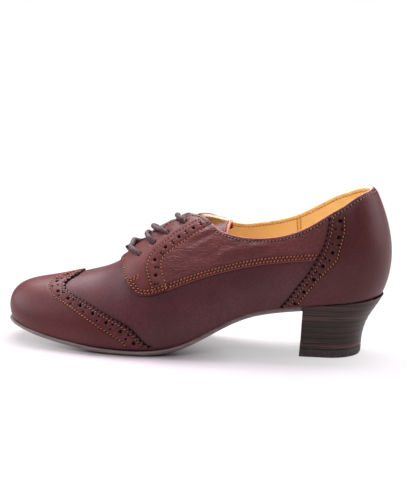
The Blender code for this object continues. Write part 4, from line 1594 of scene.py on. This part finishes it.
def heel_outline(turn, drop, reach):
    """Plan of the heel from one breast corner (-1) round the back (0) to the other (1)."""
    front, back, half = (HEEL.at(name, drop) for name in ("front", "back", "half"))
    centre = back - half
    bend = np.clip(np.abs(turn) / HEEL_BEND_SHARE, 0, 1) * RIGHT_ANGLE
    straight = np.clip((np.abs(turn) - HEEL_BEND_SHARE) / (1 - HEEL_BEND_SHARE), 0, 1)
    along, across = superellipse(bend, HEEL_ROUND)
    x = centre + half * along * reach + (front - centre) * straight
    return x, LAST.at("swing", x) + np.sign(turn) * half * across * reach


def loft_heel(name, tops, bottom, drops, material, relief):
    """Loft of heel outlines between an upper face and a level lower face."""
    inner = (0.0, 0.5, 0.85)
    reaches = np.array(inner + (1.0,) * len(drops) + inner[::-1])
    levels = np.array((drops[0],) * len(inner) + tuple(drops) + (drops[-1],) * len(inner))

    def place(u, v):
        row = nth(v, len(levels))
        share = (levels[row] - drops[0]) / (drops[-1] - drops[0])
        x, y = heel_outline(2 * u - 1, levels[row], reaches[row])
        z = (1 - share) * tops(x) + share * bottom
        dent = 1 - relief(z) / HEEL.at("half", levels[row])
        x, y = heel_outline(2 * u - 1, levels[row], reaches[row] * dent)
        return np.stack([x, y, z], axis=-1)

    return reworked(bent_grid(name, HEEL_COLUMNS, len(levels) - 1, place, material), fill_ends)


def make_heel():
    """Stacked heel block with a line between its layers, and the top piece that it stands on."""
    def layers(z):
        away = np.abs((z - TOP_PIECE - GAP) / HEEL_LIFT % 1.0 - 0.5) * HEEL_LIFT
        return LIFT_GROOVE[0] * fade(HEEL_LIFT / 2 - away, LIFT_GROOVE[1])

    def rounded(z):
        ends = ((z, TREAD_ROUND), (TOP_PIECE - z, SEAT_ROUND))
        return sum(depth * fade(away, width) for away, (depth, width) in ends)

    block = loft_heel("heel_stack", lambda x: LAST.at("feather", x) - GAP, TOP_PIECE + GAP,
                      np.linspace(0, TOP_PIECE_DROP, HEEL_ROWS), HEEL_STACK, layers)
    dress(block, "heel_stack", "heel_block")
    top = loft_heel("top_piece_body", lambda x: np.full_like(x, TOP_PIECE), 0.0,
                    np.linspace(TOP_PIECE_DROP, 1.0, TOP_PIECE_ROWS), RUBBER, rounded)
    dress(top, "top_piece_rubber", "top_piece")


# Studio
def make_camera():
    """Camera of the photograph, aimed so that the shoe falls where it does there."""
    azimuth, elevation = math.radians(CAMERA_AZIMUTH), math.radians(CAMERA_ELEVATION)
    flat = math.cos(elevation)
    back = Vector((math.sin(azimuth) * flat, -math.cos(azimuth) * flat, math.sin(elevation)))
    right = Vector((math.cos(azimuth), math.sin(azimuth), 0.0))
    up = back.cross(right)
    target = Vector(CAMERA_TARGET)
    shift = [(size / 2 - pixel) * PIXEL_MM for size, pixel in zip(IMAGE_SIZE, TARGET_PIXEL)]
    aim = target + right * shift[0] - up * shift[1]
    place = target + back * CAMERA_DISTANCE
    data = bpy.data.cameras.new("camera")
    data.sensor_width = SENSOR
    data.lens = SENSOR * CAMERA_DISTANCE / (max(IMAGE_SIZE) * PIXEL_MM)
    camera = bpy.data.objects.new("camera", data)
    camera.location = place * MM
    camera.rotation_euler = (aim - place).to_track_quat("-Z", "Y").to_euler()
    bpy.context.scene.camera = link(camera)


def add_softbox(name, place, aim, size, power, colour):
    """Rectangular soft light, in metres and watts."""
    data = bpy.data.lights.new(name, "AREA")
    data.shape = "RECTANGLE"
    data.size, data.size_y = size
    data.energy = power
    data.color = colour
    light = link(bpy.data.objects.new(name, data))
    light.location = place
    light.rotation_euler = (Vector(aim) - Vector(place)).to_track_quat("-Z", "Y").to_euler()


def make_floor():
    """White floor that glows more away from the shoe."""
    bpy.ops.mesh.primitive_circle_add(vertices=FLOOR_SIDES, radius=FLOOR_RADIUS, fill_type="NGON",
                                      location=FLOOR_PLACE)
    floor = bpy.context.object
    floor.name = "floor"
    finish = Finish("floor_white", 0.7, 0.0)
    # Pinkish tones: painted bounce light from the shoe in the floor's shadows
    finish.colour(finish.ramp(finish.noise(0.8), *zip((0.3, 0.7), FLOOR_TONES)))
    away = finish.add("ShaderNodeVectorMath", {"Vector": finish.place}, {"operation": "LENGTH"})
    share = finish.ramp(away.outputs["Value"], *((far, grey(glow)) for far, glow in FLOOR_GLOW))
    glow = finish.add("ShaderNodeEmission")
    links = {"Fac": share, 1: finish.shader.outputs["BSDF"], 2: glow.outputs["Emission"]}
    both = finish.add("ShaderNodeMixShader", links)
    end = finish.tree.nodes["Material Output"]
    finish.tree.links.new(both.outputs["Shader"], end.inputs["Surface"])
    floor.data.materials.append(finish.material)


def make_surroundings():
    """Surroundings that the camera sees white and the shoe dimmer."""
    world = bpy.data.worlds.new("surroundings")
    bpy.context.scene.world = world
    world.use_nodes = True
    tree = world.node_tree
    ground, end = tree.nodes["Background"], tree.nodes["World Output"]
    ground.inputs["Color"].default_value = (*WORLD_COLOUR, 1)
    ground.inputs["Strength"].default_value = WORLD_STRENGTH
    seen = add_node(tree, "ShaderNodeBackground", Color=(1, 1, 1, 1))
    path = add_node(tree, "ShaderNodeLightPath")
    grounds = {1: ground.outputs["Background"], 2: seen.outputs["Background"]}
    mix = add_node(tree, "ShaderNodeMixShader", {"Fac": path.outputs["Is Camera Ray"], **grounds})
    tree.links.new(mix.outputs["Shader"], end.inputs["Surface"])
    bpy.context.scene.view_settings.view_transform = "Standard"


make_camera()
make_lace()
make_vamp()
make_lining()
make_rim()
make_cap()
make_counter()
for side_name, side_value in SIDES:
    make_quarter(f"quarter_{side_name}", side_value)
    make_facing(f"facing_{side_name}", side_value)
make_flap_lining()
make_tongue()
make_insole()
make_outsole()
make_heel()
make_floor()
for softbox in SOFTBOXES:
    add_softbox(*softbox)
make_surroundings()
